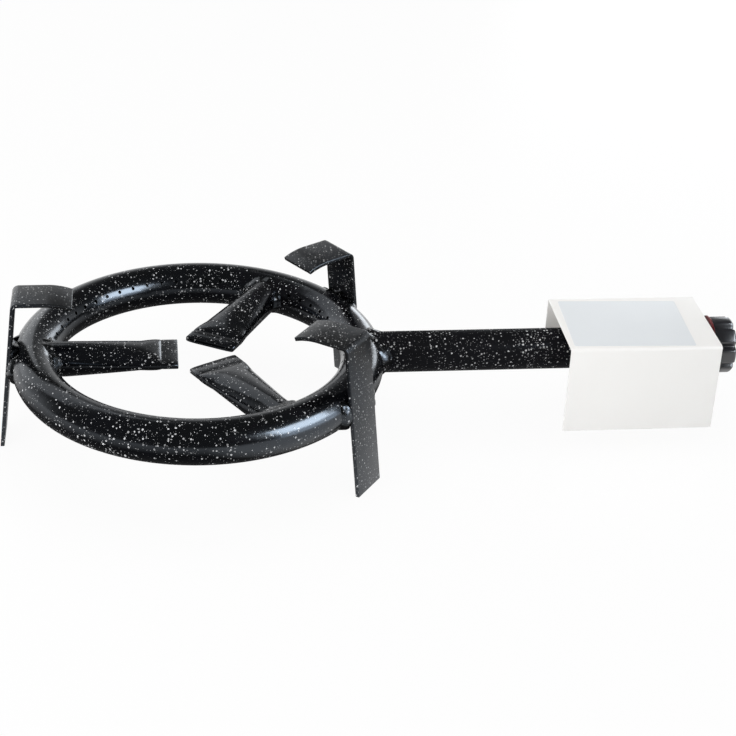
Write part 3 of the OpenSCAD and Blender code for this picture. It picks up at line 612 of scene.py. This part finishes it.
def true_ring_normals(mesh):
    spots = np.array([v.co for v in mesh.vertices])
    rho = np.hypot(spots[:, 0], spots[:, 1])
    middle = np.stack([spots[:, 0] / rho * ring_mean, spots[:, 1] / rho * ring_mean, np.zeros(len(rho))], 1)
    out = spots - middle
    depth = np.linalg.norm(out, axis=1)
    out /= depth[:, None]
    on_skin = np.abs(depth - ring_r) < skin_depth
    normals = []
    for face in mesh.polygons:
        slant = face.normal.dot(Vector(out[face.vertices[0]]))
        skin = slant > skin_slant and all(on_skin[v] for v in face.vertices)
        for v in face.vertices:
            normals.append(tuple(out[v]) if skin else tuple(face.normal))
    mesh.normals_split_custom_set(normals)


true_ring_normals(ring_mesh)
ring_mesh.transform(Matrix.Translation((0, 0, ring_z)))
piece("ring", ring_mesh, tube_enamel, "ring_tube")
print("ring placed at height", round(ring_z, 4))

# %% [markdown]
# The feed tube is a plain round tube. Its far end stays open under the cover, where the gas is blown in. A
# cylinder with a Solidify modifier would have a sharp rim, so the tube is lofted outside first and then
# back through its bore, with a small round on the rim.

# %% Feed tube
def circle_ring(x, r, sides=72):
    angles = np.linspace(0, 2 * math.pi, sides, endpoint=False)
    return [(x, r * math.cos(a), r * math.sin(a)) for a in angles]


def feed_tube_mesh():
    start = ring_mean + root_share * ring_r
    rim = 0.4 * MM
    bore = feed_r - tube_wall
    rings = [circle_ring(start, feed_r), circle_ring(feed_end - rim, feed_r)]
    rings += [circle_ring(feed_end - 0.3 * rim, feed_r - 0.3 * rim), circle_ring(feed_end, feed_r - rim)]
    rings += [circle_ring(feed_end, bore + rim), circle_ring(feed_end - rim, bore), circle_ring(start, bore)]
    return loft("feed_tube_finished", turned(rings, 0), closed=True, angle=50)


piece("feed_pipe", feed_tube_mesh(), feed_enamel, "feed_tube")
print("feed tube length", round(feed_end - ring_mean, 4))

# %% [markdown]
# A jet is a stub of tube whose tip was pressed flat. From the lip to the ring its sides draw in evenly,
# while its top and underside leave the lip in a crease and then rise as they must in a tube that keeps
# its girth. A round tube could be squashed with a lattice, but a loft with a rule for each outline keeps
# the girth right. One rule gives both outside and bore, so the lip keeps a slit for the flame.

# %% Jets
lip_len = 8 * MM
round_len = 6 * MM
pinch_len = 12 * MM
girth_power = 0.4
lip_slit = 0.6 * MM
lip_lift = 1.5 * MM
lip_half_w = (math.pi * (jet_r * 2 - jet_wall) / 2 + jet_wall) / 2
lip_half_t = jet_wall + lip_slit / 2
lip_flatness = 1 / 3


def jet_ring(x, r, half_w, half_t, behind, squash, sides=96):
    """The outline at a distance behind the lip."""
    s = min(1, behind / squash)
    oval = min(1, behind / pinch_len)
    w = half_w + (r - half_w) * s
    t = half_t + max(0, jet_r * s ** girth_power - lip_half_t)
    power = oval + (1 - oval) * lip_flatness
    points = []
    for i in range(sides):
        a = 2 * math.pi * (i + 0.5) / sides
        y = w * math.copysign(abs(math.cos(a)) ** power, math.cos(a))
        z = t * math.copysign(abs(math.sin(a)) ** power, math.sin(a))
        points.append((x, y, z + (1 - s) * lip_lift))
    return points


def jet_rings(tip, r, half_w, half_t, rim):
    squash = ring_mean - ring_r - tip - lip_len - round_len
    rings = [jet_ring(tip, r, half_w - rim, half_t - rim, 0, squash)]
    rings.append(jet_ring(tip + abs(rim), r, half_w, half_t, 0, squash))
    for share in np.linspace(0, 1, 40) ** 2:
        rings.append(jet_ring(tip + lip_len + share * squash, r, half_w, half_t, share * squash, squash))
    rings.append(jet_ring(ring_mean - root_share * ring_r, r, half_w, half_t, squash, squash))
    return rings


def jet_mesh(node, tip):
    rim = 0.35 * MM
    outside = jet_rings(tip, jet_r, lip_half_w, lip_half_t, rim)
    bore = jet_rings(tip, jet_r - jet_wall, lip_half_w - jet_wall, lip_slit / 2, -0.5 * rim)
    rings = outside + bore[::-1]
    return loft(node + "_finished", turned(rings, jet_angles[node]), closed=True, angle=50)


for node, angle in jet_angles.items():
    toward = Vector((math.cos(math.radians(angle)), math.sin(math.radians(angle)), 0))
    tip = min(v.co.dot(toward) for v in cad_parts[node].data.vertices)
    piece(node.replace("jet_", "burner_jet_"), jet_mesh(node, tip), tube_enamel, node)
    print(node, "tip at", round(tip, 4))

# %% [markdown]
# Each leg is one strip of steel: a foot, a leaning leg against the ring, a tight bend and an arm that
# curls down at its end, so that a pan slides over it. A flat strip could be bent by modifiers, but the
# bends are exact when the side view of the strip is drawn once, with true arcs, and extruded to its
# width.

# %% Legs
leg_t = 2.2 * MM
leg_half_w = (leg_high.y - leg_low.y) / 2
leg_splay = 6.8
leg_gap = 0.1 * MM
arm_len = 32 * MM
leg_bend_r = 1.5 * MM
curl_len = 14 * MM
curl_drop = 2.8 * MM
strip_edge = 0.45 * MM


def leg_face(offset, z):
    """How far out a leaning face is, at a height above the ring's plane."""
    lean = math.radians(leg_splay)
    return ring_mean + (offset - z * math.sin(lean)) / math.cos(lean)


def leg_outline():
    inner = ring_r + leg_gap
    bend_outer = leg_bend_r + leg_t
    top = leg_high.z - ring_z
    bend_z = top - bend_outer
    bend_x = leg_face(inner + leg_t - bend_outer, bend_z)
    curl_x = bend_x + bend_outer - arm_len + curl_len
    curl_r = (curl_len ** 2 + curl_drop ** 2) / (2 * curl_drop)
    curl_angle = math.degrees(math.asin(curl_len / curl_r))
    points = [(leg_face(inner + leg_t, -ring_z), -ring_z)]
    points += arc(bend_x, bend_z, bend_outer, leg_splay, 90)
    points += arc(curl_x, top - curl_r, curl_r, 90, 90 + curl_angle)
    points += arc(curl_x, top - curl_r, curl_r - leg_t, 90 + curl_angle, 90)
    points += arc(bend_x, bend_z, leg_bend_r, 90, leg_splay)
    points.append((leg_face(inner, -ring_z), -ring_z))
    return points


for node, angle in leg_angles.items():
    spot = Matrix.Translation((0, 0, ring_z)) @ Matrix.Rotation(math.radians(angle), 4, "Z")
    mesh = extruded(node + "_finished", leg_outline(), leg_half_w, strip_edge, spot)
    piece(node.replace("leg_", "strip_"), mesh, strip_enamel, node)
    print(node, len(mesh.polygons), "faces")

# %% [markdown]
# Welds show under the enamel as beads: collars where a tube meets the ring, and short lumps along the
# strips. Each is a loft whose sections sit on the two surfaces that it joins. Plain sections would look
# machined, so they swell and shrink along the bead as the puddles of a hand weld do, and noise makes the
# skin uneven.

# %% Helpers: weld beads
sink = 0.25 * MM
collar_puddles = 11
bead_puddles = 7


def ring_skin(side, lift, turn, gap):
    rho = ring_mean + side * (ring_r + gap) * math.cos(lift)
    return np.array([rho * math.cos(turn), rho * math.sin(turn), (ring_r + gap) * math.sin(lift)])


def puddles(a, count, seed):
    """A wavering factor near 1 at angle a, with that many puddles a turn."""
    return 1 + 0.06 * math.sin(count * a + seed) + 0.08 * math.sin(5 * a + 2.1 * seed)


def bulged(start, end, out, rise, steps):
    """Points of a bead's skin from start to end, raised in the middle along out."""
    control = (start + end) / 2 + 2 * rise * out
    ts = np.linspace(0, 1, steps)[:, None]
    return list((1 - ts) ** 2 * start + 2 * ts * (1 - ts) * control + ts * ts * end)


def lumpy(mesh, *waves):
    """Raises and sinks a bead's skin by waves of noise, each with its size and its height."""
    mesh.update()
    ways = [v.normal.copy() for v in mesh.vertices]
    for v, out in zip(mesh.vertices, ways):
        v.co += out * sum(height * noise.noise(v.co / size) for size, height in waves)
    return mesh


def joined(name, meshes):
    """Several meshes as one."""
    work = bmesh.new()
    for mesh in meshes:
        work.from_mesh(mesh)
        bpy.data.meshes.remove(mesh)
    mesh = bpy.data.meshes.new(name)
    work.to_mesh(mesh)
    work.free()
    return mesh


print("beads can be laid")

# %% [markdown]
# A collar runs round the foot of each tube that grows out of the ring. A torus would miss the
# saddle-shaped seam, so the loft walks round the tube, finds the ring's skin at each step and lays its
# section there.

# %% Weld collars
def collar_ring(tube_r, reach, side, a, seed):
    inner = tube_r - sink
    lift = math.asin(min(max(inner * math.sin(a) / ring_r, -0.999), 0.999))
    rho = ring_mean + side * ring_r * math.cos(lift)
    turn = math.asin(inner * math.cos(a) / rho)
    grown = reach * puddles(a, collar_puddles, seed)
    along = np.array([side, 0, 0])
    out = np.array([0, math.cos(a), math.sin(a)])
    root = ring_skin(side, lift, turn, -2 * sink)
    on_tube = root + along * (grown + sink)
    foot_lift = lift + grown / ring_r * math.sin(a)
    foot_turn = turn + grown / rho * math.cos(a)
    on_ring = ring_skin(side, foot_lift, foot_turn, -sink * 0.4)
    skin = bulged(on_tube + out * sink * 0.6, on_ring, (along + out) / math.sqrt(2), 0.04 * grown, 9)
    return [root, on_tube] + skin


def collar(name, tube_r, reach, side, angle, seed):
    steps = 204
    rings = [collar_ring(tube_r, reach, side, 2 * math.pi * i / steps, seed) for i in range(steps)]
    return loft(name, turned(rings, angle), closed=True, angle=60)


feed_bead = 5 * MM
feed_collar = collar("feed_collar", feed_r, feed_bead, 1, 0, 0.4)
feed_skin = lumpy(feed_collar, (5 * MM, 0.7 * MM), (2 * MM, 0.25 * MM))
piece("feed_weld_bead", feed_skin, weld_enamel, "feed_weld")
jet_collars = [collar(node + "_collar", jet_r, jet_bead, -1, angle, 1.7 * seed)
               for seed, (node, angle) in enumerate(jet_angles.items())]
jet_skin = lumpy(joined("jet_collars", jet_collars), (4 * MM, 0.5 * MM), (1.8 * MM, 0.2 * MM))
piece("jet_weld_beads", jet_skin, weld_enamel, "jet_welds")
print("weld collars", 1 + len(jet_angles))

# %% [markdown]
# A strip is welded to the ring along both its edges and in the crevice above the line where they touch.
# These beads are short, so they swell from almost nothing and die out again. Cut-off collars would end
# bluntly: a loft along the seam follows the round ring and the leaning strip, and closes at both ends.

# %% Weld beads on the legs
leg_bead = 5.5 * MM
leg_bead_len = 17 * MM
crevice_start = 16
crevice_span = 26
crevice_rise = 1.2 * MM


def swell(s):
    return 0.1 + 0.9 * math.sqrt(max(0, 1 - s * s))


def ring_out(y, z, gap):
    """How far out the ring's outer skin is, at a sideways place and a height."""
    return math.sqrt((ring_mean + math.sqrt((ring_r + gap) ** 2 - z * z)) ** 2 - y * y)


def edge_bead_ring(side, s, seed):
    z = s * leg_bead_len / 2
    y = leg_half_w - sink
    full = swell(s) * puddles(s, bead_puddles, seed)
    reach = leg_bead * full + sink
    root = np.array([ring_out(y, z, -3 * sink), y, z])
    under = np.array([ring_out(y + reach / 2, z, -3 * sink), y + reach / 2, z])
    foot = np.array([ring_out(y + reach, z, -sink), y + reach, z])
    top = leg_face(ring_r + leg_gap + leg_t, z) - 0.25 * MM
    shoulder = np.array([root[0] + (top - root[0]) * min(1, full), y, z])
    skin = bulged(shoulder, foot, np.array([0.7, 0.7, 0]), 0.16 * reach, 9)
    return [(p[0], side * p[1], p[2]) for p in [root] + skin + [under]]


def crevice_bead_ring(s, seed):
    y = s * leg_bead_len / 2
    full = swell(s) * puddles(s, bead_puddles, seed)
    low = math.radians(leg_splay + crevice_start)
    high = low + math.radians(crevice_span) * full
    top = ring_r * math.sin(high)
    wall_z = top + crevice_rise * full
    foot = np.array([ring_out(y, top, -sink), y, top])
    wall = np.array([leg_face(ring_r + leg_gap, wall_z) + sink, y, wall_z])
    deep = np.array([ring_out(y, ring_r * math.sin(low), -3 * sink), y, ring_r * math.sin(low)])
    deep_wall = np.array([leg_face(ring_r + leg_gap, deep[2]) + sink, y, deep[2]])
    skin = bulged(wall, foot, np.array([0, 0, -1]), 0.25 * MM, 8)
    return [deep, deep_wall] + skin


leg_beads = []
stations = np.sin(np.linspace(-math.pi / 2, math.pi / 2, 33))
for seed, (node, angle) in enumerate(leg_angles.items()):
    for side in (-1, 1):
        rings = [edge_bead_ring(side, s, 2 * seed + side) for s in stations]
        leg_beads.append(loft(node + "_edge_bead", turned(rings, angle), angle=70))
    rings = [crevice_bead_ring(s, seed) for s in stations]
    leg_beads.append(loft(node + "_crevice_bead", turned(rings, angle), angle=70))
bead_count = len(leg_beads)
leg_skin = lumpy(joined("leg_beads", leg_beads), (3.5 * MM, 0.7 * MM), (1.4 * MM, 0.25 * MM))
piece("leg_weld_beads", leg_skin, weld_enamel, "leg_welds")
print("leg beads", bead_count)

# %% [markdown]
# The cover is one sheet folded twice into a U that is open below and at both ends, with a shorter back
# wall. A flat sheet with a Solidify modifier could be folded, but the folds' radii are exact when the
# outline is drawn end-on, outside and inside, and extruded along the feed tube. The back wall's end is
# read from the solid.

# %% Cover
sheet_t = 1 * MM
fold_r = 2 * MM
cut_edge = 0.18 * MM


def cover_outline():
    half = (cover_high.y - cover_low.y) / 2
    top, bottom = cover_high.z, cover_low.z
    spots = [v.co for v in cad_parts["cover"].data.vertices]
    back_bottom = min(co.z for co in spots if co.y > cover_high.y - sheet_t / 2)
    inner = half - sheet_t
    points = [(-half, bottom)]
    points += arc(-half + fold_r, top - fold_r, fold_r, 180, 90, 10)
    points += arc(half - fold_r, top - fold_r, fold_r, 90, 0, 10)
    points += [(half, back_bottom), (inner, back_bottom)]
    points += arc(half - fold_r, top - fold_r, fold_r - sheet_t, 0, 90, 10)
    points += arc(-half + fold_r, top - fold_r, fold_r - sheet_t, 90, 180, 10)
    points.append((-inner, bottom))
    return points


cover_half_len = (cover_high.x - cover_low.x) / 2
cover_middle = (cover_high.x + cover_low.x) / 2
along_feed = Matrix.Translation((cover_middle, 0, 0)) @ Matrix.Rotation(math.radians(90), 4, "Z")
cover_mesh = extruded("cover_finished", cover_outline(), cover_half_len, cut_edge, along_feed)
piece("tap_cover", cover_mesh, cover_white, "cover")
print("cover", len(cover_mesh.polygons), "faces")

# %% [markdown]
# The label is a film with round corners, stuck on a little askew. It could be a mere colour in the paint,
# but as a thin plate of its own it shows its edge, and it can be left off.

# %% Label
def rounded_rectangle(half_x, half_y, r):
    points = []
    for cx, cy, start in ((1, 1, 0), (-1, 1, 90), (-1, -1, 180), (1, -1, 270)):
        points += arc(cx * (half_x - r), cy * (half_y - r), r, start, start + 90, 6)
    return points


label_len = 67 * MM
label_w = 52.5 * MM
label_turn = 2
label_corner = 1.2 * MM
label_edge = 0.04 * MM


def label_mesh():
    middle = (label_low + label_high) / 2
    half_t = (label_high.z - label_low.z) / 2
    askew = Matrix.Rotation(math.radians(-label_turn), 4, "Z")
    flat = Matrix.Translation(middle) @ askew @ Matrix.Rotation(math.radians(90), 4, "X")
    outline = rounded_rectangle(label_len / 2, label_w / 2, label_corner)
    return extruded("label_finished", outline, half_t, label_edge, flat)


piece("cover_label", label_mesh(), label_pale, "label")
print("label", [round(v, 4) for v in label_high - label_low])

# %% [markdown]
# Under the cover sits the tap, which only shows from below and from its ends. Modelling it again would add
# nothing, because its solids already have the right shapes. So each is copied, its triangles are merged
# into whole faces, and its edges get the small rounds of turned metal.

# %% Tap and fasteners from their solids
turned_edge = 0.12 * MM


def dressed_mesh(node):
    work = bmesh.new()
    work.from_mesh(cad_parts[node].data)
    bmesh.ops.remove_doubles(work, verts=work.verts, dist=0.002 * MM)
    bmesh.ops.dissolve_limit(work, angle_limit=math.radians(0.5), verts=work.verts, edges=work.edges)
    crisp = [e for e in work.edges if e.calc_face_angle(0) > math.radians(40)]
    rounded(work, crisp, turned_edge, 2)
    mesh = bpy.data.meshes.new(node + "_finished")
    work.to_mesh(mesh)
    work.free()
    return shaded(mesh, 32)


def dressed(node, material, body="burner"):
    piece(node + "_finish", dressed_mesh(node), material, node, body)


dressed("tap_bracket", strip_enamel)
dressed("bracket_weld", weld_enamel)
for node in ("cover_studs", "stud_washers", "stud_nuts", "bonnet_screws", "neck_washer", "neck_nut"):
    dressed(node, zinc_steel)
for node in ("injector", "tap_body", "bonnet"):
    dressed(node, tap_brass)
dressed("inlet_washer", fibre_brown)
dressed("tap_plug", tap_brass, "tap_spindle")
for node in ("spindle", "knob_clip"):
    dressed(node, spring_steel, "tap_spindle")
print("tap dressed")

# %% [markdown]
# A spring is wire wound round a rod, and a thread is a ridge wound round a bolt, so one rule makes both:
# a section that follows a spiral. A Screw modifier could do it too, but the rule names its sizes.

# %% Rule: a coil
def coil_rule(material):
    inputs = {"Coil radius": FLOAT, "Wire radius": FLOAT, "Rise": FLOAT, "Turns": FLOAT, "Sides": COUNT}
    board, size, tree = rule("coil", inputs)
    spiral = board.add("GeometryNodeCurveSpiral", {}, {
        "Resolution": 48, "Rotations": size["Turns"], "Start Radius": size["Coil radius"],
        "End Radius": size["Coil radius"], "Height": size["Rise"]})
    section = board.add("GeometryNodeCurvePrimitiveCircle", {},
                        {"Resolution": size["Sides"], "Radius": size["Wire radius"]})
    sweep = {"Curve": spiral, "Profile Curve": section, "Fill Caps": True}
    close_rule(board, board.add("GeometryNodeCurveToMesh", {}, sweep), material)
    return tree


print("coils can be wound")

# %% [markdown]
# The plug's spring keeps the tapered plug seated in the tap. It is the coil rule with round wire, as long
# as the solid that it replaces, laid along the tap's axis.

# %% Plug spring
spring_low, spring_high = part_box("plug_spring")
wire_r = 0.45 * MM
spring_turns = 3.0
spring_mesh = follow("plug_spring_finished", coil_rule(spring_steel), {
    "Coil radius": (spring_high.z - spring_low.z) / 2 - wire_r, "Wire radius": wire_r,
    "Rise": spring_high.x - spring_low.x - 2 * wire_r, "Turns": spring_turns, "Sides": 12,
})
spring_seat = Matrix.Translation((spring_low.x + wire_r, 0, ring_z))
spring_mesh.transform(spring_seat @ Matrix.Rotation(math.radians(90), 4, "Y"))
piece("plug_spring_finish", spring_mesh, spring_steel, "plug_spring", "tap_spindle")
print("spring", len(spring_mesh.polygons), "faces")

# %% [markdown]
# The hose connector carries the thread for the gas hose. A cut thread is slow and fragile as a boolean.
# Instead the shank is drawn in to the thread's root, and a ridge is wound over it by the coil rule, with
# its crest at the solid's own radius.

# %% Hose connector with its thread
fitting_low, fitting_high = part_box("inlet_fitting")
thread_r = 10 * MM
ridge = 0.45 * MM
thread_pitch = 1.8 * MM
lead_in = 1 * MM
thread_len = 10 * MM
root_depth = 2 * ridge * 0.9
thread_top = fitting_low.z + lead_in + thread_len
fitting_mesh = dressed_mesh("inlet_fitting")
fitting_x = (fitting_low.x + fitting_high.x) / 2
for v in fitting_mesh.vertices:
    out = Vector((v.co.x - fitting_x, v.co.y, 0))
    on_crest = thread_r - lead_in / 2 < out.length < thread_r + 0.01 * MM
    if on_crest and v.co.z < thread_top:
        v.co -= out.normalized() * root_depth
thread_rise = thread_len - 2 * ridge - thread_pitch / 2
ridge_mesh = follow("inlet_thread", coil_rule(tap_brass), {
    "Coil radius": thread_r - ridge, "Wire radius": ridge, "Rise": thread_rise,
    "Turns": thread_rise / thread_pitch, "Sides": 6,
})
ridge_mesh.transform(Matrix.Translation((fitting_x, 0, fitting_low.z + lead_in + ridge)))
threaded_mesh = shaded(joined("inlet_fitting_finished", [fitting_mesh, ridge_mesh]), 32)
piece("inlet_fitting_finish", threaded_mesh, tap_brass, "inlet_fitting")
print("thread", round(thread_rise / thread_pitch, 1), "turns")

# %% [markdown]
# The knob is a black grip with round lobes. It could be a cylinder with grooves cut by booleans, but then
# its edges would stay hard. It is a turned shape whose radius changes with the angle, so it is lofted
# from the bore over the back to the front, and the soft edges come with the loft.

# %% Knob
knob_low, knob_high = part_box("knob")
knob_ring_low, knob_ring_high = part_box("knob_ring")
lobes = 8
lobe_top = 31.5 * MM / 2
lobe_turn = math.radians(1)
groove_half = math.asin(5.6 / 31.5)
groove_h = 2.4 * MM
hub_r = 6.5 * MM
shaft_r = 3.05 * MM
back_edge = 0.4 * MM
front_edge = 1.8 * MM
front_wall = 2.4 * MM
face_inset = 2 * MM
face_core = (lobe_top - groove_h) * 0.8
face_dish = ((0.85, 0.0), (0.78, 0.1), (0.72, 0.5), (0.65, 0.6), (0.35, 0.6), (0.05, 0.6))
grip_back = knob_ring_high.x


def round_axis(x, radius_at, sides=240):
    """A ring of points round the tap's axis, with its own radius at each angle."""
    angles = [2 * math.pi * i / sides for i in range(sides)]
    return [(x, radius_at(a) * math.sin(a), radius_at(a) * math.cos(a)) for a in angles]


def plain_ring(x, r):
    return round_axis(x, lambda a: r)


def grip_radius(a):
    """A circle with a soft groove between each two lobes."""
    step = 2 * math.pi / lobes
    off = abs(((a - lobe_turn) / step) % 1 - 0.5) * step / groove_half
    return lobe_top - groove_h * (1 + math.cos(math.pi * min(1, off))) / 2


def grip_ring(x, inset):
    return round_axis(x, lambda a: grip_radius(a) - inset)


def face_ring(x, share):
    """A ring in the grip's flat front, that share of the way out and rounder towards the middle."""
    return round_axis(x, lambda a: share * (share * (grip_radius(a) - face_inset) + (1 - share) * face_core))


def knob_mesh():
    front = knob_high.x
    rings = [plain_ring(front - front_wall, shaft_r), plain_ring(knob_low.x, shaft_r)]
    rings += [plain_ring(knob_low.x, hub_r), plain_ring(grip_back, hub_r)]
    rings += [grip_ring(grip_back, back_edge), grip_ring(grip_back + back_edge, 0)]
    for t in np.linspace(0, math.pi / 2, 9):
        rings.append(grip_ring(front - front_edge + front_edge * math.sin(t), front_edge * (1 - math.cos(t))))
    rings += [face_ring(front - dish * MM, share) for share, dish in face_dish]
    return loft("knob_finished", turned(rings, 0), angle=45)


piece("grip", knob_mesh(), knob_black, "knob", "tap_spindle")
print("knob front at", round(knob_high.x, 4))

# %% [markdown]
# The ring behind the grip is a thin disc of red plastic with a soft rim, and it turns with the grip. A
# bevelled cylinder would do, but the knob's own rings of points make it in a few lines.

# %% Ring behind the grip
hub_gap = 0.1 * MM
rim_round = 0.7 * MM


def knob_ring_mesh():
    outer = (knob_ring_high.z - knob_ring_low.z) / 2
    back, front = knob_ring_low.x, knob_ring_high.x
    shoulder = outer - rim_round
    rings = [plain_ring(back, hub_r + hub_gap)]
    for t in np.linspace(0, math.pi / 2, 6):
        x = back + rim_round - rim_round * math.cos(t)
        rings.append(plain_ring(x, shoulder + rim_round * math.sin(t)))
    for t in np.linspace(0, math.pi / 2, 6):
        x = front - rim_round + rim_round * math.sin(t)
        rings.append(plain_ring(x, shoulder + rim_round * math.cos(t)))
    rings.append(plain_ring(front, hub_r + hub_gap))
    return loft("knob_ring_finished", turned(rings, 0), closed=True, angle=45)


piece("grip_ring", knob_ring_mesh(), ring_red, "knob_ring", "tap_spindle")
print("ring behind the grip at", round(knob_ring_low.x, 4))

# %% [markdown]
# The burner stands on plain white. More light would make a floor white too, but it would bleach the
# cover. So the floor glows for the camera and for reflections only, and keeps a soft shadow.

# %% Stage: floor
glow_share = 0.94
floor_half = 12.0


def floor_material():
    finish = Finish("floor_white", Base_Color=(0.85, 0.85, 0.85, 1), Roughness=0.3)
    path = {name: finish.add("ShaderNodeLightPath", {}, {}, name)
            for name in ("Is Camera Ray", "Is Glossy Ray", "Is Transmission Ray")}
    seen = (path["Is Camera Ray"] + path["Is Glossy Ray"] + path["Is Transmission Ray"]).clamped()
    glow = finish.add("ShaderNodeEmission", {}, {"Color": (1, 1, 1, 1), "Strength": 1.0})
    finish.overlaid(seen * glow_share, glow)
    return finish.material


def floor_piece():
    mesh = bpy.data.meshes.new("floor")
    corners = [(x * floor_half, y * floor_half, 0) for x, y in ((-1, -1), (1, -1), (1, 1), (-1, 1))]
    mesh.from_pydata(corners, [], [(0, 1, 2, 3)])
    mesh.transform(Matrix.Translation((0, 0, -0.05 * MM)))
    mesh.materials.append(floor_material())
    obj = bpy.data.objects.new("floor", mesh)
    bpy.context.scene.collection.objects.link(obj)


floor_piece()
print("floor laid")

# %% [markdown]
# The light is one large soft box to the right, in front and a little above. The highlights on the round
# ring give its direction and size, because each bright place mirrors the box. One lamp could give light
# and highlight together, but here they are set one by one. The key box and the back panel light
# everything. Three shines show only as reflections in the gloss, and two fills lift the white cover
# without showing in the gloss. No lamp shows to the camera itself.

# %% Stage: lamps
lamp_target = Vector((0.08, 0, ring_z))


def way(azimuth, elevation):
    a, e = math.radians(azimuth), math.radians(elevation)
    return Vector((math.cos(a) * math.cos(e), math.sin(a) * math.cos(e), math.sin(e)))


def soft_box(name, azimuth, elevation, wide, tall, radiance, colour=(1, 1, 1), distance=1.6):
    """An area lamp that covers these angles, seen from the burner, and is that bright all over."""
    lamp = bpy.data.lights.new(name, "AREA")
    lamp.color = colour
    lamp.shape = "RECTANGLE"
    lamp.size = 2 * distance * math.tan(math.radians(wide / 2))
    lamp.size_y = 2 * distance * math.tan(math.radians(tall / 2))
    lamp.energy = radiance * math.pi * lamp.size * lamp.size_y
    obj = bpy.data.objects.new(name, lamp)
    obj.location = lamp_target + way(azimuth, elevation) * distance
    obj.rotation_euler = (lamp_target - obj.location).to_track_quat("-Z", "Y").to_euler()
    obj.visible_camera = False
    bpy.context.scene.collection.objects.link(obj)
    return obj


soft_box("key_box", -33, 28, 50, 28, 1.0)
soft_box("back_panel", 126, 28, 44, 44, 0.8)
for shine in (soft_box("key_shine", -29, 28, 36, 26, 13.0, (0.84, 0.92, 1.0), 1.8),
              soft_box("low_shine", -27, 6, 40, 20, 3.6, (0.80, 0.89, 1.0), 1.7),
              soft_box("window_shine", 58, 8, 34, 16, 3.5, (0.92, 0.96, 1.0))):
    shine.visible_diffuse = False
for fill in (soft_box("fill_above", 90, 89, 70, 70, 1.6), soft_box("fill_left", -140, 6, 60, 45, 5.1)):
    fill.visible_glossy = False
print("lamps", len(bpy.data.lights))

# %% [markdown]
# A dim world stands for the rest of the studio, with a paler wall behind the burner, which the enamel's
# upper side mirrors, and a light line at the horizon, where the floor ends. A picture of a studio could
# do it, but a few sums on the direction of sight are enough and need no file.

# %% Stage: world and view
def studio_world():
    dim, wall_light, horizon_light = 0.07, 0.70, 0.25
    wall_top, wall_fade, side_fade, horizon_fade = 0.56, 2.6, 3, 14
    world = bpy.data.worlds.new("studio")
    world.use_nodes = True
    board = Board(world.node_tree)
    background = world.node_tree.nodes["Background"]
    sight = board.add("ShaderNodeTexCoord", {}, {}, "Generated")
    back = board.add("ShaderNodeSeparateXYZ", {}, {0: sight}, "Y")
    height = board.add("ShaderNodeSeparateXYZ", {}, {0: sight}, "Z")
    wall = ((wall_top - height) * wall_fade).clamped() * (back * side_fade).clamped()
    horizon = (1 - height * horizon_fade).clamped()
    strength = dim + wall * wall_light + horizon * horizon_light
    world.node_tree.links.new(strength.socket, background.inputs["Strength"])
    background.inputs["Color"].default_value = (1, 1, 1, 1)
    bpy.context.scene.world = world


studio_world()
bpy.context.scene.view_settings.view_transform = "Standard"
print("stage lit")

# %% [markdown]
# The camera stands at the photograph's own place. It could be aimed by eye, but its place, turn and lens
# were fitted to the ring, the tube, the cover and the legs in the photograph, so that the two can be
# compared.

# %% Camera
def camera_at(location, yaw, pitch, roll, lens):
    y, p, r = (math.radians(v) for v in (yaw, pitch, roll))
    ahead = Vector((math.sin(y) * math.cos(p), math.cos(y) * math.cos(p), -math.sin(p)))
    right = Vector((math.cos(y), -math.sin(y), 0))
    up = right.cross(ahead)
    right, up = right * math.cos(r) + up * math.sin(r), up * math.cos(r) - right * math.sin(r)
    data = bpy.data.cameras.new("camera")
    data.sensor_width = 36
    data.lens = lens
    obj = bpy.data.objects.new("camera", data)
    obj.matrix_world = Matrix.Translation(location) @ Matrix((right, up, -ahead)).transposed().to_4x4()
    bpy.context.scene.collection.objects.link(obj)
    bpy.context.scene.camera = obj


camera_at(Vector((-0.0250, -0.8258, 0.5051)), yaw=8.10, pitch=29.30, roll=2.65, lens=84.89)
print("camera set")
